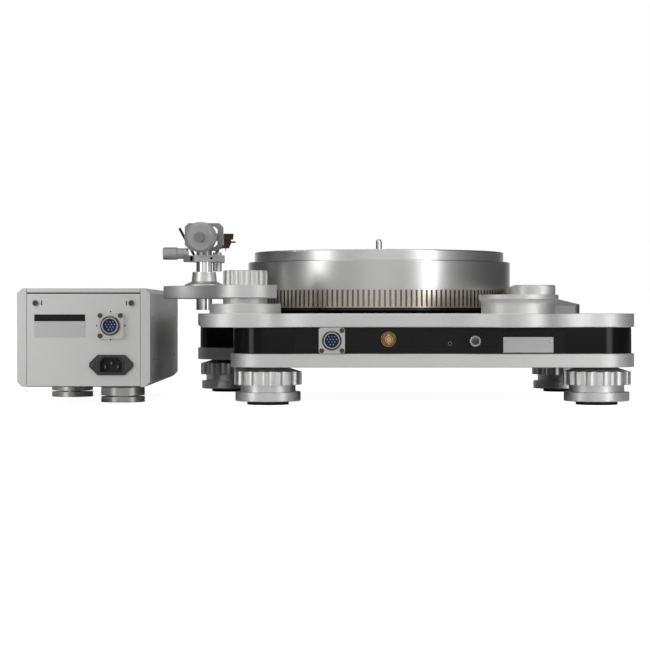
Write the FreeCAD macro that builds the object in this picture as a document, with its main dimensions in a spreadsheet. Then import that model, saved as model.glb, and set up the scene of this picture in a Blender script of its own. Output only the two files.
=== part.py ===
import FreeCAD, Part
import math
import os
from types import SimpleNamespace

import Sketcher
from FreeCAD import Placement, Rotation, Vector

# Record player with a magnetically driven platter, a gimbal tonearm and its outboard power supply.
# Millimetres, +Z up. The operator stands at -Y, the sockets face +Y and the tonearm is at +X.
# Heights are above the table. Places in plan are measured from the platter's axis,
# and the platter's axis itself is placed so that the set's footprint is centred on the origin.

SIZES = {
    # Where the platter's axis stands in the frame
    "platter_x": -58.85,
    "platter_y": -11.4,
    # Gaps and fits
    "running_gap": 0.05,
    "face_gap": 0.2,
    "seat_gap": 0.1,
    "root_lap": 0.5,
    # Feet
    "pad_radius": 23.3,
    "pad_height": 4.0,
    "disc_radius": 36.5,
    "disc_height": 10.5,
    "neck_radius": 30.8,
    "neck_height": 7.5,
    "collar_radius": 38.0,
    "collar_height": 14.5,
    "collar_cone_height": 5.1,
    "collar_cone_radius": 21.0,
    "collar_flutes": 18,
    "flute_radius": 8.5,
    "flute_depth": 1.9,
    "stem_radius": 12.0,
    "stem_grip": 12.0,
    # Plinth plan
    "rear_left_x": -239.0,
    "rear_right_x": 128.3,
    "rear_feet_y": 180.0,
    "front_left_x": -243.0,
    "front_right_x": 190.0,
    "front_feet_y": -193.0,
    "lobe_radius": 41.6,
    "arm_lobe_radius": 49.4,
    "drive_lobe_radius": 50.0,
    "waist_radius": 78.0,
    "side_waist_radius": 200.0,
    "plate_thickness": 15.2,
    "plate_chamfer": 0.7,
    "frame_height": 29.1,
    "frame_inset": 3.0,
    "frame_wall": 12.0,
    # Rear panel
    "panel_middle_x": -50.6,
    "panel_width": 299.0,
    "panel_thickness": 3.0,
    "panel_margin": 0.3,
    "window_margin": 8.0,
    # Multi-pin sockets
    "socket_flange": 28.6,
    "socket_flange_thickness": 4.5,
    "socket_corner": 3.0,
    "barrel_radius": 10.4,
    "barrel_bore": 7.9,
    "barrel_length": 6.0,
    "barrel_bevel": 1.3,
    "socket_tail": 12.0,
    "insert_recess": 5.0,
    "pin_radius": 0.55,
    "pin_length": 1.6,
    "pin_pitch": 3.3,
    "socket_screw_offset": 11.1,
    "turntable_socket_x": 57.0,
    "turntable_socket_z": 71.7,
    "supply_socket_in": 43.0,
    "supply_socket_z": 88.1,
    "screw_head_radius": 2.7,
    "screw_head_height": 2.4,
    "screw_hex": 1.3,
    "screw_hex_depth": 1.3,
    # Clock socket and earth terminal
    "clock_x": -5.3,
    "clock_z": 73.2,
    "clock_nut_radius": 8.5,
    "clock_nut_height": 2.6,
    "clock_bevel": 0.9,
    "clock_barrel_radius": 4.9,
    "clock_barrel_length": 11.0,
    "clock_bore": 3.9,
    "clock_lug_radius": 1.0,
    "clock_pin_radius": 0.9,
    "ground_x": -100.3,
    "ground_z": 71.1,
    "ground_nut_radius": 6.2,
    "ground_nut_height": 6.0,
    "ground_nut_bevel": 0.8,
    "ground_dish_radius": 4.5,
    "ground_dish_depth": 1.4,
    "ground_stud_radius": 2.5,
    "ground_stud_length": 12.0,
    "ground_washer_radius": 5.0,
    "ground_washer_height": 1.2,
    "ground_knurls": 12,
    # Main bearing
    "housing_radius": 34.0,
    "housing_flange_radius": 46.0,
    "housing_flange_height": 4.0,
    "housing_neck_radius": 20.0,
    "housing_floor": 5.0,
    "bearing_top": 118.0,
    "bush_radius": 14.0,
    "shaft_radius": 10.0,
    "thrust_seat_height": 6.0,
    "thrust_seat_radius": 9.0,
    "ball_radius": 6.0,
    "shaft_nose": 9.0,
    "magnet_inner": 26.0,
    "magnet_outer": 45.0,
    "magnet_height": 6.0,
    "magnet_gap": 4.0,
    "hub_radius": 62.0,
    "hub_boss_radius": 47.0,
    "hub_flange": 8.0,
    "base_disc_radius": 149.0,
    "base_disc_height": 1.9,
    "base_step_radius": 110.0,
    "base_step_height": 5.5,
    # Platter
    "drum_radius": 157.7,
    "drum_inner": 140.0,
    "drum_bottom": 129.5,
    "web_bottom": 145.0,
    "drum_top": 162.6,
    "top_radius": 150.0,
    "platter_top": 174.6,
    "rim_round": 1.6,
    "label_radius": 52.0,
    "label_depth": 0.6,
    "spindle_radius": 3.575,
    "spindle_root_radius": 3.0,
    "spindle_collar_radius": 6.0,
    "spindle_top": 191.2,
    "shaft_entry": 12.0,
    "ring_radius": 156.5,
    "ring_bottom": 108.0,
    "lip_radius": 152.0,
    "lip_bottom": 104.9,
    "rib_count": 162,
    "rib_gap": 2.6,
    "rib_depth": 2.6,
    "rib_end": 1.2,
    # Drive tower, head and magnet wheel
    "tower_x": -149.4,
    "tower_y": 204.0,
    "tower_radius": 41.2,
    "tower_rim_radius": 44.1,
    "tower_rim_height": 4.6,
    "tower_height": 20.6,
    "cove_radius": 8.0,
    "cove_height": 6.4,
    "head_height": 10.5,
    "head_width": 47.0,
    "head_end_radius": 19.7,
    "head_rear": 28.0,
    "head_corner": 22.0,
    "head_edge": 1.8,
    "head_inner_offset": 6.9,
    "pivot_radius": 8.0,
    "pivot_depth": 16.0,
    "wheel_x": -171.5,
    "wheel_y": 54.7,
    "wheel_radius": 21.0,
    "wheel_bottom": 106.8,
    "wheel_height": 11.0,
    "wheel_slots": 24,
    "motor_radius": 17.4,
    "motor_shaft_radius": 3.0,
    "head_skin": 2.2,
    # Control unit
    "control_x": -222.0,
    "control_y": -138.0,
    "control_width": 66.0,
    "control_length": 96.0,
    "control_corner": 9.0,
    "control_height": 21.0,
    "control_slope": 14.0,
    "control_outer_height": 11.2,
    "control_rear_height": 9.5,
    "window_width": 34.0,
    "window_length": 40.0,
    "window_height": 1.6,
    "window_proud": 0.3,
    "button_radius": 6.5,
    "button_depth": 5.0,
    "button_proud": 1.8,
    "button_pitch": 22.0,
    # Arm tower and armboard
    "arm_tower_x": 152.6,
    "arm_tower_y": 208.0,
    "arm_tower_radius": 39.4,
    "arm_tower_height": 10.7,
    "arm_neck_radius": 24.5,
    "arm_neck_height": 6.0,
    "arm_stud_radius": 8.0,
    "board_thickness": 14.6,
    "board_tower_radius": 35.0,
    "board_pillar_radius": 47.0,
    "board_waist_radius": 70.0,
    "knob_radius": 24.7,
    "knob_height": 15.8,
    "knob_flutes": 16,
    "knob_flute_radius": 6.0,
    "knob_flute_depth": 1.5,
    "knob_round": 2.6,
    "knob_cap": 5.0,
    # Tonearm base and pillar
    "pillar_x": 204.5,
    "pillar_y": 104.0,
    "pillar_radius": 9.2,
    "pillar_bottom": 105.5,
    "base_flange_radius": 22.6,
    "base_flange_rim": 1.8,
    "base_flange_height": 5.4,
    "base_cone_bottom": 14.6,
    "base_cone_top": 13.5,
    "base_cone_height": 10.9,
    "clamp_bottom": 161.0,
    "clamp_thickness": 7.4,
    "clamp_half_width": 23.4,
    "clamp_half_facet": 10.0,
    "clamp_arm_inner": 20.5,
    "clamp_arm_outer": 8.8,
    "clamp_arm_reach": 58.0,
    "clamp_slit": 3.2,
    "clamp_slit_offset": 13.4,
    "clamp_slit_depth": 18.0,
    "clamp_screw_radius": 1.4,
    "clamp_screw_offset": 9.5,
    "clamp_screw_depth": 8.0,
    # Arm rest
    "rest_reach": 52.0,
    "rest_post_radius": 2.5,
    "rest_width": 17.0,
    "rest_slot": 11.4,
    "rest_depth": 5.0,
    "rest_floor": 183.6,
    "rest_fork_height": 12.0,
    "rest_fork_base": 3.0,
    "rest_low_wall": 1.8,
    # Arm lifter
    "lifter_offset": 13.1,
    "lifter_reach": 34.0,
    "lifter_radius": 5.2,
    "lifter_bottom": 150.8,
    "lifter_top": 172.8,
    "plunger_radius": 2.4,
    "plunger_length": 16.0,
    "lift_bar_length": 31.0,
    "lift_bar_width": 4.0,
    "lift_bar_height": 2.6,
    "lift_bar_seat": 4.0,
    "cue_shaft_radius": 1.8,
    "cue_shaft_length": 9.0,
    "cue_hub_radius": 3.6,
    "cue_hub_length": 4.4,
    "cue_lever_radius": 1.5,
    "cue_lever_length": 42.0,
    "cue_lean": 28.7,
    # Anti-skating knob
    "skate_reach": 10.0,
    "skate_height": 171.0,
    "skate_ear_start": 19.2,
    "skate_ear_length": 4.4,
    "skate_stem_radius": 6.2,
    "skate_stem_length": 7.8,
    "skate_knob_radius": 7.2,
    "skate_knob_length": 16.8,
    "skate_shaft_radius": 1.9,
    "skate_shaft_length": 4.0,
    "skate_knurls": 20,
    # Yoke and gimbal
    "pivot_height": 189.8,
    "arm_tilt": 2.2,
    "yoke_width": 44.0,
    "yoke_height": 31.6,
    "yoke_depth": 16.0,
    "yoke_side": 6.2,
    "yoke_bar": 3.4,
    "yoke_top_corner": 4.3,
    "yoke_low_corner": 6.5,
    "yoke_inner_corner": 4.0,
    "yoke_hub_radius": 9.0,
    "yaw_pin_radius": 4.0,
    "yaw_pin_depth": 14.0,
    "point_radius": 1.6,
    "point_head_radius": 2.6,
    "point_head_proud": 0.8,
    "point_grip": 2.0,
    "gimbal_outer": 11.4,
    "gimbal_inner": 7.6,
    "gimbal_length": 8.0,
    # Arm tube, headshell and cartridge
    "sleeve_length": 26.0,
    "tube_radius": 5.0,
    "tube_tip_radius": 4.2,
    "tube_reach": 205.0,
    "stub_radius": 5.4,
    "stub_reach": 100.0,
    "weight_radius": 17.0,
    "weight_length": 35.0,
    "weight_inset": 25.0,
    "weight_chamfer": 2.6,
    "shell_angle": 22.0,
    "shell_length": 42.0,
    "shell_width": 13.0,
    "shell_thickness": 4.4,
    "shell_root": 2.4,
    "shell_plug": 4.0,
    "shell_plug_radius": 5.6,
    "shell_grip": 10.0,
    "finger_radius": 1.1,
    "finger_length": 7.6,
    "finger_from_middle": 2.0,
    "finger_drop": 6.4,
    "cartridge_flange_width": 15.0,
    "cartridge_flange_height": 3.4,
    "cartridge_width": 9.0,
    "cartridge_length": 22.0,
    "cartridge_height": 14.5,
    "cartridge_setback": 3.0,
    "cartridge_nose_length": 6.0,
    "cartridge_nose_height": 6.5,
    "stylus_height": 3.5,
    "stylus_radius": 0.5,
    "stylus_from_front": 6.5,
    # Power supply
    "supply_gap": 5.0,
    "supply_seam": 0.5,
    "supply_width": 145.8,
    "supply_rear": 222.0,
    "supply_length": 394.0,
    "supply_bottom": 20.8,
    "supply_height": 108.3,
    "side_panel": 10.4,
    "side_chamfer": 5.5,
    "top_panel": 4.5,
    "top_groove": 1.5,
    "base_panel": 4.0,
    "supply_rear_panel": 4.0,
    "front_panel": 10.0,
    "rear_panel_lift": 0.9,
    "supply_screw_x": 52.6,
    "supply_screw_z": 112.9,
    "supply_screw_radius": 3.1,
    "inlet_in": 42.3,
    "inlet_z": 45.0,
    "inlet_width": 48.2,
    "inlet_height": 22.2,
    "inlet_flange": 2.6,
    "inlet_ear": 9.0,
    "inlet_mouth_width": 24.4,
    "inlet_mouth_height": 16.4,
    "inlet_mouth_corner": 4.2,
    "inlet_body_width": 27.4,
    "inlet_body_height": 19.8,
    "inlet_depth": 15.5,
    "inlet_wall": 2.0,
    "inlet_screw_pitch": 40.0,
    "inlet_screw_radius": 2.3,
    "blade_width": 4.0,
    "blade_thickness": 2.0,
    "blade_length": 11.0,
    "blade_spread": 7.0,
    "blade_rise": 2.0,
    "transformer_radius": 52.0,
    "transformer_bore": 14.0,
    "transformer_height": 50.0,
    "transformer_y": -60.0,
    "supply_foot_radius": 25.0,
    "supply_foot_disc": 6.2,
    "supply_foot_gap": 0.8,
    "supply_foot_neck": 10.8,
    "supply_foot_rise": 0.7,
    "supply_foot_height": 17.9,
    "supply_foot_boss": 19.0,
    "supply_foot_bevel": 1.0,
    "supply_foot_a_x": 297.2,
    "supply_foot_a_y": 115.0,
    "supply_foot_b_x": 374.7,
    "supply_foot_b_y": -33.0,
    "supply_foot_c_x": 326.0,
    "supply_foot_c_y": -130.0,
    "power_button_radius": 9.0,
    "power_button_depth": 8.0,
    "power_button_proud": 2.6,
    "power_button_z": 75.0,
}

CORNER = 1.0e-6


# A size with its formula
class Size:
    """A number together with the formula of the sheet's cells that gives it."""

    def __init__(self, value, formula):
        self.value = float(value)
        self.formula = formula

    def _join(self, sign, other, flip=False):
        other = as_size(other)
        first, second = (other, self) if flip else (self, other)
        result = {
            "+": lambda a, b: a + b,
            "-": lambda a, b: a - b,
            "*": lambda a, b: a * b,
            "/": lambda a, b: a / b,
        }[sign](first.value, second.value)
        return Size(result, f"({first.formula} {sign} {second.formula})")

    def __add__(self, other):
        return self._join("+", other)

    def __radd__(self, other):
        return self._join("+", other, True)

    def __sub__(self, other):
        return self._join("-", other)

    def __rsub__(self, other):
        return self._join("-", other, True)

    def __mul__(self, other):
        return self._join("*", other)

    def __rmul__(self, other):
        return self._join("*", other, True)

    def __truediv__(self, other):
        return self._join("/", other)

    def __neg__(self):
        return self._join("-", 0, True)


def as_size(number):
    return number if isinstance(number, Size) else Size(number, f"{float(number):.6f}")


def sine(angle):
    angle = as_size(angle)
    return Size(math.sin(math.radians(angle.value)), f"sin({angle.formula})")


def cosine(angle):
    angle = as_size(angle)
    return Size(math.cos(math.radians(angle.value)), f"cos({angle.formula})")


def tangent(angle):
    return sine(angle) / cosine(angle)


def root(number):
    number = as_size(number)
    return Size(math.sqrt(number.value), f"sqrt({number.formula})")


os.makedirs("parts", exist_ok=True)
doc = FreeCAD.newDocument("Turntable")
sheet = doc.addObject("Spreadsheet::Sheet", "Sizes")
for row, (name, value) in enumerate(SIZES.items(), start=1):
    sheet.set(f"A{row}", name)
    sheet.set(f"B{row}", str(value))
    sheet.setAlias(f"B{row}", name)
doc.recompute()
size = SimpleNamespace(**{name: Size(value, f"Sizes.{name}") for name, value in SIZES.items()})
finished = {}


# Turns a piece drawn with its front to +Z so that it faces the rear, upright
REARWARD = ((0, 1, 1), 180)


# Helpers that bind a property to its formula
def bind(thing, prop, amount):
    thing.setExpression(prop, as_size(amount).formula)


def place(thing, x=0, y=0, z=0, axis=(0, 0, 1), angle=0):
    """Puts a piece at x, y, z from the platter's axis, turned by angle about axis."""
    spots = [as_size(v).formula for v in (size.platter_x + x, size.platter_y + y, z)]
    turn = f"create(<<vector>>; {axis[0]}; {axis[1]}; {axis[2]}); {as_size(angle).formula}"
    thing.setExpression(
        "Placement",
        f"create(<<placement>>; create(<<vector>>; {spots[0]}; {spots[1]}; {spots[2]}); "
        f"create(<<rotation>>; {turn}))",
    )
    return thing


def finish(thing, label):
    """Gives a sub-part its name and books it for export."""
    thing.Label = label
    finished[label] = thing
    return thing


# Sketch helpers
def origin_plane(body, role):
    return next(item for item in body.Origin.OriginFeatures if item.Role == role)


def new_sketch(body, name, role, offset=0):
    sketch = body.newObject("Sketcher::SketchObject", name)
    sketch.AttachmentSupport = [(origin_plane(body, role), "")]
    sketch.MapMode = "FlatFace"
    if isinstance(offset, Size):
        sketch.AttachmentOffset = Placement(Vector(0, 0, offset.value), Rotation())
        bind(sketch, "AttachmentOffset.Base.z", offset)
    return sketch


def bind_constraints(sketch, rules):
    """Adds constraints; a rule is (constraint, amount) and its amount may be None."""
    first = sketch.ConstraintCount
    sketch.addConstraint([rule for rule, amount in rules])
    for step, (rule, amount) in enumerate(rules):
        if isinstance(amount, Size):
            sketch.setExpression(f"Constraints[{first + step}]", amount.formula)


def fix_point(geometry, end, x, y):
    """Rules that hold one end of a line or arc at x, y."""
    rules = []
    for kind, axis, amount in (("DistanceX", -2, as_size(x)), ("DistanceY", -1, as_size(y))):
        if abs(amount.value) < CORNER:
            rules.append((Sketcher.Constraint("PointOnObject", geometry, end, axis), None))
        else:
            rules.append((Sketcher.Constraint(kind, geometry, end, amount.value), amount))
    return rules


def arc_between(start, end, radius):
    """The short arc from start to end; a positive radius has its centre on the left of travel."""
    chord = end - start
    half = chord.Length / 2
    rise = math.sqrt(max(radius * radius - half * half, 0))
    side = Vector(-chord.y, chord.x, 0).normalize() * (rise if radius > 0 else -rise)
    centre = start + chord * 0.5 + side
    first = math.atan2(start.y - centre.y, start.x - centre.x)
    last = math.atan2(end.y - centre.y, end.x - centre.x)
    if radius < 0:
        first, last = last, first
    if last < first:
        last += 2 * math.pi
    return Part.ArcOfCircle(Part.Circle(centre, Vector(0, 0, 1), abs(radius)), first, last)


def draw_corners(sketch, corners):
    """A closed outline through corners (x, y) or (x, y, radius of the arc that leaves it)."""
    base = sketch.GeometryCount
    count = len(corners)
    spots = [Vector(as_size(c[0]).value, as_size(c[1]).value, 0) for c in corners]
    radii = [as_size(c[2]) if len(c) > 2 else None for c in corners]
    for step in range(count):
        start, end = spots[step], spots[(step + 1) % count]
        if radii[step] is None:
            sketch.addGeometry(Part.LineSegment(start, end), False)
        else:
            sketch.addGeometry(arc_between(start, end, radii[step].value), False)
    rules = []
    for step in range(count):
        following = (step + 1) % count
        tail = 1 if radii[step] is not None and radii[step].value < 0 else 2
        head = 2 if radii[following] is not None and radii[following].value < 0 else 1
        rules.append(
            (Sketcher.Constraint("Coincident", base + step, tail, base + following, head), None)
        )
        rules += fix_point(base + following, head, *corners[following][:2])
        if radii[step] is not None:
            amount = radii[step] if radii[step].value > 0 else -radii[step]
            rules.append((Sketcher.Constraint("Radius", base + step, amount.value), amount))
    bind_constraints(sketch, rules)


def draw_circle(sketch, x, y, radius):
    x, y, radius = as_size(x), as_size(y), as_size(radius)
    circle = Part.Circle(Vector(x.value, y.value, 0), Vector(0, 0, 1), radius.value)
    geometry = sketch.addGeometry(circle, False)
    rules = [(Sketcher.Constraint("Radius", geometry, radius.value), radius)]
    if abs(x.value) < CORNER and abs(y.value) < CORNER:
        rules.append((Sketcher.Constraint("Coincident", geometry, 3, -1, 1), None))
    else:
        rules += fix_point(geometry, 3, x, y)
    bind_constraints(sketch, rules)


def draw_box(sketch, x, y, width, height):
    """A rectangle centred at x, y."""
    left, right = x - width / 2, x + width / 2
    low, high = y - height / 2, y + height / 2
    draw_corners(sketch, [(left, low), (right, low), (right, high), (left, high)])


# Feature helpers
def new_body(name):
    return doc.addObject("PartDesign::Body", name)


def turn(body, name, corners):
    """A solid of revolution about the body's Z axis, from a profile in its XZ plane."""
    sketch = new_sketch(body, name + "_profile", "XZ_Plane")
    draw_corners(sketch, corners)
    feature = body.newObject("PartDesign::Revolution", name)
    feature.Profile = sketch
    feature.ReferenceAxis = (sketch, ["V_Axis"])
    feature.Angle = 360
    return feature


def pad(body, name, role, offset, length, draw, reverse=False):
    sketch = new_sketch(body, name + "_outline", role, offset)
    draw(sketch)
    feature = body.newObject("PartDesign::Pad", name)
    feature.Profile = sketch
    bind(feature, "Length", length)
    feature.Reversed = reverse
    return feature


def pocket(body, name, role, offset, depth, draw, reverse=False):
    """A cut that has to take material away."""
    before = settled(body).Volume
    sketch = new_sketch(body, name + "_outline", role, offset)
    draw(sketch)
    feature = body.newObject("PartDesign::Pocket", name)
    feature.Profile = sketch
    bind(feature, "Length", depth)
    feature.Reversed = reverse
    if not settled(body).Volume < before:
        raise RuntimeError(f"{name} cuts nothing")
    return feature


def polar(body, name, feature, count):
    pattern = body.newObject("PartDesign::PolarPattern", name)
    pattern.Originals = [feature]
    pattern.Axis = (origin_plane(body, "Z_Axis"), [""])
    pattern.Angle = 360
    bind(pattern, "Occurrences", count)
    body.Tip = pattern
    return pattern


def settled(body):
    doc.recompute()
    return body.Shape


def round_edges(body, name, amount, keep, kind="Fillet"):
    """Rounds or chamfers the edges of the body's tip that keep() accepts."""
    doc.recompute()
    base = body.Tip
    picked = [f"Edge{i + 1}" for i, edge in enumerate(base.Shape.Edges) if keep(edge)]
    if not picked:
        raise RuntimeError(f"{name} finds no edge")
    feature = body.newObject(f"PartDesign::{kind}", name)
    feature.Base = (base, picked)
    bind(feature, "Radius" if kind == "Fillet" else "Size", amount)
    return feature


def rim_at(radius, height):
    """Accepts the circular edge of that radius at that height about the body's axis."""
    def keep(edge):
        curve = edge.Curve
        return (
            isinstance(curve, Part.Circle)
            and abs(curve.Radius - as_size(radius).value) < 0.01
            and abs(curve.Center.z - as_size(height).value) < 0.01
        )
    return keep


def level_edges(*heights):
    """Accepts the edges that lie flat at one of the heights, except the round bores' rims."""
    levels = [as_size(height).value for height in heights]

    def keep(edge):
        flat = any(
            abs(edge.BoundBox.ZMin - level) < 0.01 and abs(edge.BoundBox.ZMax - level) < 0.01
            for level in levels
        )
        return flat and not edge.isClosed()
    return keep


# Part primitives with bound sizes
def cylinder(name, radius, height, x=0, y=0, z=0, axis="z"):
    thing = doc.addObject("Part::Cylinder", name)
    bind(thing, "Radius", radius)
    bind(thing, "Height", height)
    turns = {"z": Rotation(), "x": Rotation(Vector(0, 1, 0), 90), "y": Rotation(Vector(1, 0, 0), -90)}
    thing.Placement = Placement(Vector(), turns[axis])
    for letter, amount in zip("xyz", (x, y, z)):
        bind(thing, f"Placement.Base.{letter}", amount)
    return thing


def block(name, x, y, z, width, depth, height):
    """A box from the low corner x, y, z."""
    thing = doc.addObject("Part::Box", name)
    for prop, amount in (("Length", width), ("Width", depth), ("Height", height)):
        bind(thing, prop, amount)
    for letter, amount in zip("xyz", (x, y, z)):
        bind(thing, f"Placement.Base.{letter}", amount)
    return thing


def cut(name, base, tool):
    thing = doc.addObject("Part::Cut", name)
    thing.Base = base
    thing.Tool = tool
    return thing


def fuse(name, pieces):
    thing = doc.addObject("Part::MultiFuse", name)
    thing.Shapes = pieces
    return thing


def group(name, pieces):
    thing = doc.addObject("Part::Compound", name)
    thing.Links = pieces
    return thing


# Heights that several pieces share
foot_disc_top = size.pad_height + size.disc_height
neck_top = foot_disc_top + size.neck_height
collar_bottom = neck_top + size.face_gap
collar_shoulder = collar_bottom + size.collar_height
collar_top = collar_shoulder + size.collar_cone_height
plate_bottom = collar_top + size.face_gap
frame_bottom = plate_bottom + size.plate_thickness
frame_top = frame_bottom + size.frame_height
plinth_top = frame_top + size.plate_thickness
rear_edge = size.rear_feet_y + size.lobe_radius
board_bottom = plinth_top + size.arm_tower_height + size.arm_neck_height + size.face_gap
board_top = board_bottom + size.board_thickness
supply_left = size.pillar_x + size.board_pillar_radius + size.supply_gap
supply_socket_x = supply_left + size.supply_socket_in
inlet_x = supply_left + size.inlet_in

FEET = {
    "rear_left": (size.rear_left_x, size.rear_feet_y),
    "rear_right": (size.rear_right_x, size.rear_feet_y),
    "front_left": (size.front_left_x, size.front_feet_y),
    "front_right": (size.front_right_x, size.front_feet_y),
}


# Rounded plate outlines
def tangent_chain(sketch, links):
    """Draws a closed chain of lobes and what joins them, all tangent, counter-clockwise.

    A link is (x, y, radius, joint). The joint leads to the next lobe: "line" for a straight side,
    ("waist", radius) for a hollow arc, or ("edge", y, radius) for a straight edge along X at y
    that meets both lobes through hollow arcs.
    """
    count = len(links)
    lobes = [SimpleNamespace(at=Vector(l[0].value, l[1].value, 0), size=l[2].value) for l in links]
    touch_in = [None] * count
    touch_out = [None] * count
    joints = []
    for step in range(count):
        here, there = lobes[step], lobes[(step + 1) % count]
        way = (there.at - here.at).normalize()
        gap = (there.at - here.at).Length
        outward = Vector(way.y, -way.x, 0)
        joint = links[step][3]
        if joint == "line":
            lean = (here.size - there.size) / gap
            normal = way * lean + outward * math.sqrt(1 - lean * lean)
            touch_out[step] = here.at + normal * here.size
            touch_in[(step + 1) % count] = there.at + normal * there.size
            joints.append([("line", touch_out[step], touch_in[(step + 1) % count])])
        elif joint[0] == "waist":
            hollow = joint[1].value
            near, far = here.size + hollow, there.size + hollow
            along = (near * near - far * far + gap * gap) / (2 * gap)
            middle = here.at + way * along + outward * math.sqrt(near * near - along * along)
            touch_out[step] = here.at + (middle - here.at).normalize() * here.size
            touch_in[(step + 1) % count] = there.at + (middle - there.at).normalize() * there.size
            joints.append([("arc", touch_out[step], touch_in[(step + 1) % count], middle, joint[1])])
        else:
            level, hollow = joint[1].value, joint[2].value
            spots = []
            for lobe, side in ((here, -1), (there, 1)):
                rise = level + hollow - lobe.at.y
                run = math.sqrt((lobe.size + hollow) ** 2 - rise * rise)
                spots.append(Vector(lobe.at.x + side * run, level + hollow, 0))
            touch_out[step] = here.at + (spots[0] - here.at).normalize() * here.size
            touch_in[(step + 1) % count] = there.at + (spots[1] - there.at).normalize() * there.size
            flat = [Vector(spot.x, level, 0) for spot in spots]
            joints.append([
                ("arc", touch_out[step], flat[0], spots[0], joint[2]),
                ("edge", flat[0], flat[1], joint[1]),
                ("arc", flat[1], touch_in[(step + 1) % count], spots[1], joint[2]),
            ])
    base = sketch.GeometryCount
    rules = []
    ends = []
    number = base
    for step in range(count):
        x, y, radius, joint = links[step]
        first = touch_in[step] - lobes[step].at
        last = touch_out[step] - lobes[step].at
        start = math.atan2(first.y, first.x)
        stop = math.atan2(last.y, last.x)
        if stop < start:
            stop += 2 * math.pi
        circle = Part.Circle(lobes[step].at, Vector(0, 0, 1), radius.value)
        sketch.addGeometry(Part.ArcOfCircle(circle, start, stop), False)
        rules.append((Sketcher.Constraint("Radius", number, radius.value), radius))
        rules += fix_point(number, 3, x, y)
        ends.append((number, 1, 2))
        number += 1
        for piece in joints[step]:
            if piece[0] == "arc":
                _, begin, end, middle, hollow = piece
                start = math.atan2(end.y - middle.y, end.x - middle.x)
                stop = math.atan2(begin.y - middle.y, begin.x - middle.x)
                if stop < start:
                    stop += 2 * math.pi
                circle = Part.Circle(middle, Vector(0, 0, 1), hollow.value)
                sketch.addGeometry(Part.ArcOfCircle(circle, start, stop), False)
                rules.append((Sketcher.Constraint("Radius", number, hollow.value), hollow))
                ends.append((number, 2, 1))
            else:
                sketch.addGeometry(Part.LineSegment(piece[1], piece[2]), False)
                if piece[0] == "edge":
                    level = piece[3]
                    rules.append((Sketcher.Constraint("Horizontal", number), None))
                    rules.append((Sketcher.Constraint("DistanceY", number, 1, level.value), level))
                ends.append((number, 1, 2))
            number += 1
    for step, (geometry, head, tail) in enumerate(ends):
        following, next_head, _ = ends[(step + 1) % len(ends)]
        rules.append((Sketcher.Constraint("Tangent", geometry, tail, following, next_head), None))
    bind_constraints(sketch, rules)


def plinth_outline(inset):
    """The four foot lobes, drawn in by inset all round: straight sides, but hollow under the arm."""
    radius = size.lobe_radius - inset
    return [
        (*FEET["front_left"], radius, "line"),
        (*FEET["front_right"], radius, ("waist", size.side_waist_radius + inset)),
        (*FEET["rear_right"], radius, "line"),
        (*FEET["rear_left"], radius, "line"),
    ]


def foot_bores(sketch):
    for x, y in FEET.values():
        draw_circle(sketch, x, y, size.stem_radius + size.seat_gap)


# Chassis plates
def make_lower_plate():
    """Thick plate that carries the feet; the bearing housing hangs through its middle."""
    body = new_body("lower_plate")
    pad(body, "lower_slab", "XY_Plane", plate_bottom, size.plate_thickness,
        lambda sketch: tangent_chain(sketch, plinth_outline(Size(0, "0"))))
    round_edges(body, "lower_chamfer", size.plate_chamfer,
                level_edges(plate_bottom, frame_bottom), "Chamfer")
    pocket(body, "lower_foot_bores", "XY_Plane", plate_bottom, size.stem_grip, foot_bores, True)
    pocket(body, "lower_bearing_bore", "XY_Plane", plate_bottom, size.plate_thickness,
           lambda sketch: draw_circle(sketch, 0, 0, size.housing_radius + size.seat_gap), True)
    finish(place(body), "lower_plate")


def make_middle_frame():
    """Hollow ring between the plates, set in from their edges, with a bay for the rear panel."""
    body = new_body("middle_frame")

    def ring(sketch):
        tangent_chain(sketch, plinth_outline(size.frame_inset))
        tangent_chain(sketch, plinth_outline(size.frame_inset + size.frame_wall))
    pad(body, "frame_ring", "XY_Plane", frame_bottom, size.frame_height, ring)
    middle = frame_bottom + size.frame_height / 2
    bay = rear_edge - size.frame_inset - size.panel_thickness - size.panel_margin

    def bay_outline(sketch):
        draw_box(sketch, size.panel_middle_x, middle, size.panel_width, size.frame_height)
    pocket(body, "panel_bay", "XZ_Plane", -bay, size.panel_thickness + size.frame_inset, bay_outline)

    def window_outline(sketch):
        draw_box(sketch, size.panel_middle_x, middle, size.panel_width - 2 * size.window_margin,
                 size.frame_height - size.window_margin)
    pocket(body, "panel_window", "XZ_Plane", -bay, size.frame_wall, window_outline, True)
    finish(place(body), "middle_frame")


def make_upper_plate():
    """Top plate; two more lobes swing out past the rear edge under the arm and drive towers."""
    body = new_body("upper_plate")
    links = [
        (*FEET["front_left"], size.lobe_radius, "line"),
        (*FEET["front_right"], size.lobe_radius, "line"),
        (size.arm_tower_x, size.arm_tower_y, size.arm_lobe_radius,
         ("edge", rear_edge, size.waist_radius)),
        (size.tower_x, size.tower_y, size.drive_lobe_radius, ("waist", size.waist_radius)),
        (*FEET["rear_left"], size.lobe_radius, "line"),
    ]
    pad(body, "upper_slab", "XY_Plane", frame_top, size.plate_thickness,
        lambda sketch: tangent_chain(sketch, links))
    round_edges(body, "upper_chamfer", size.plate_chamfer,
                level_edges(frame_top, plinth_top), "Chamfer")
    pocket(body, "upper_bearing_bore", "XY_Plane", frame_top, size.plate_thickness,
           lambda sketch: draw_circle(sketch, 0, 0, size.housing_radius + size.seat_gap), True)
    finish(place(body), "upper_plate")


# Rear panel and its sockets
panel_face = rear_edge - size.frame_inset - size.panel_margin
panel_back = panel_face - size.panel_thickness


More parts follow.
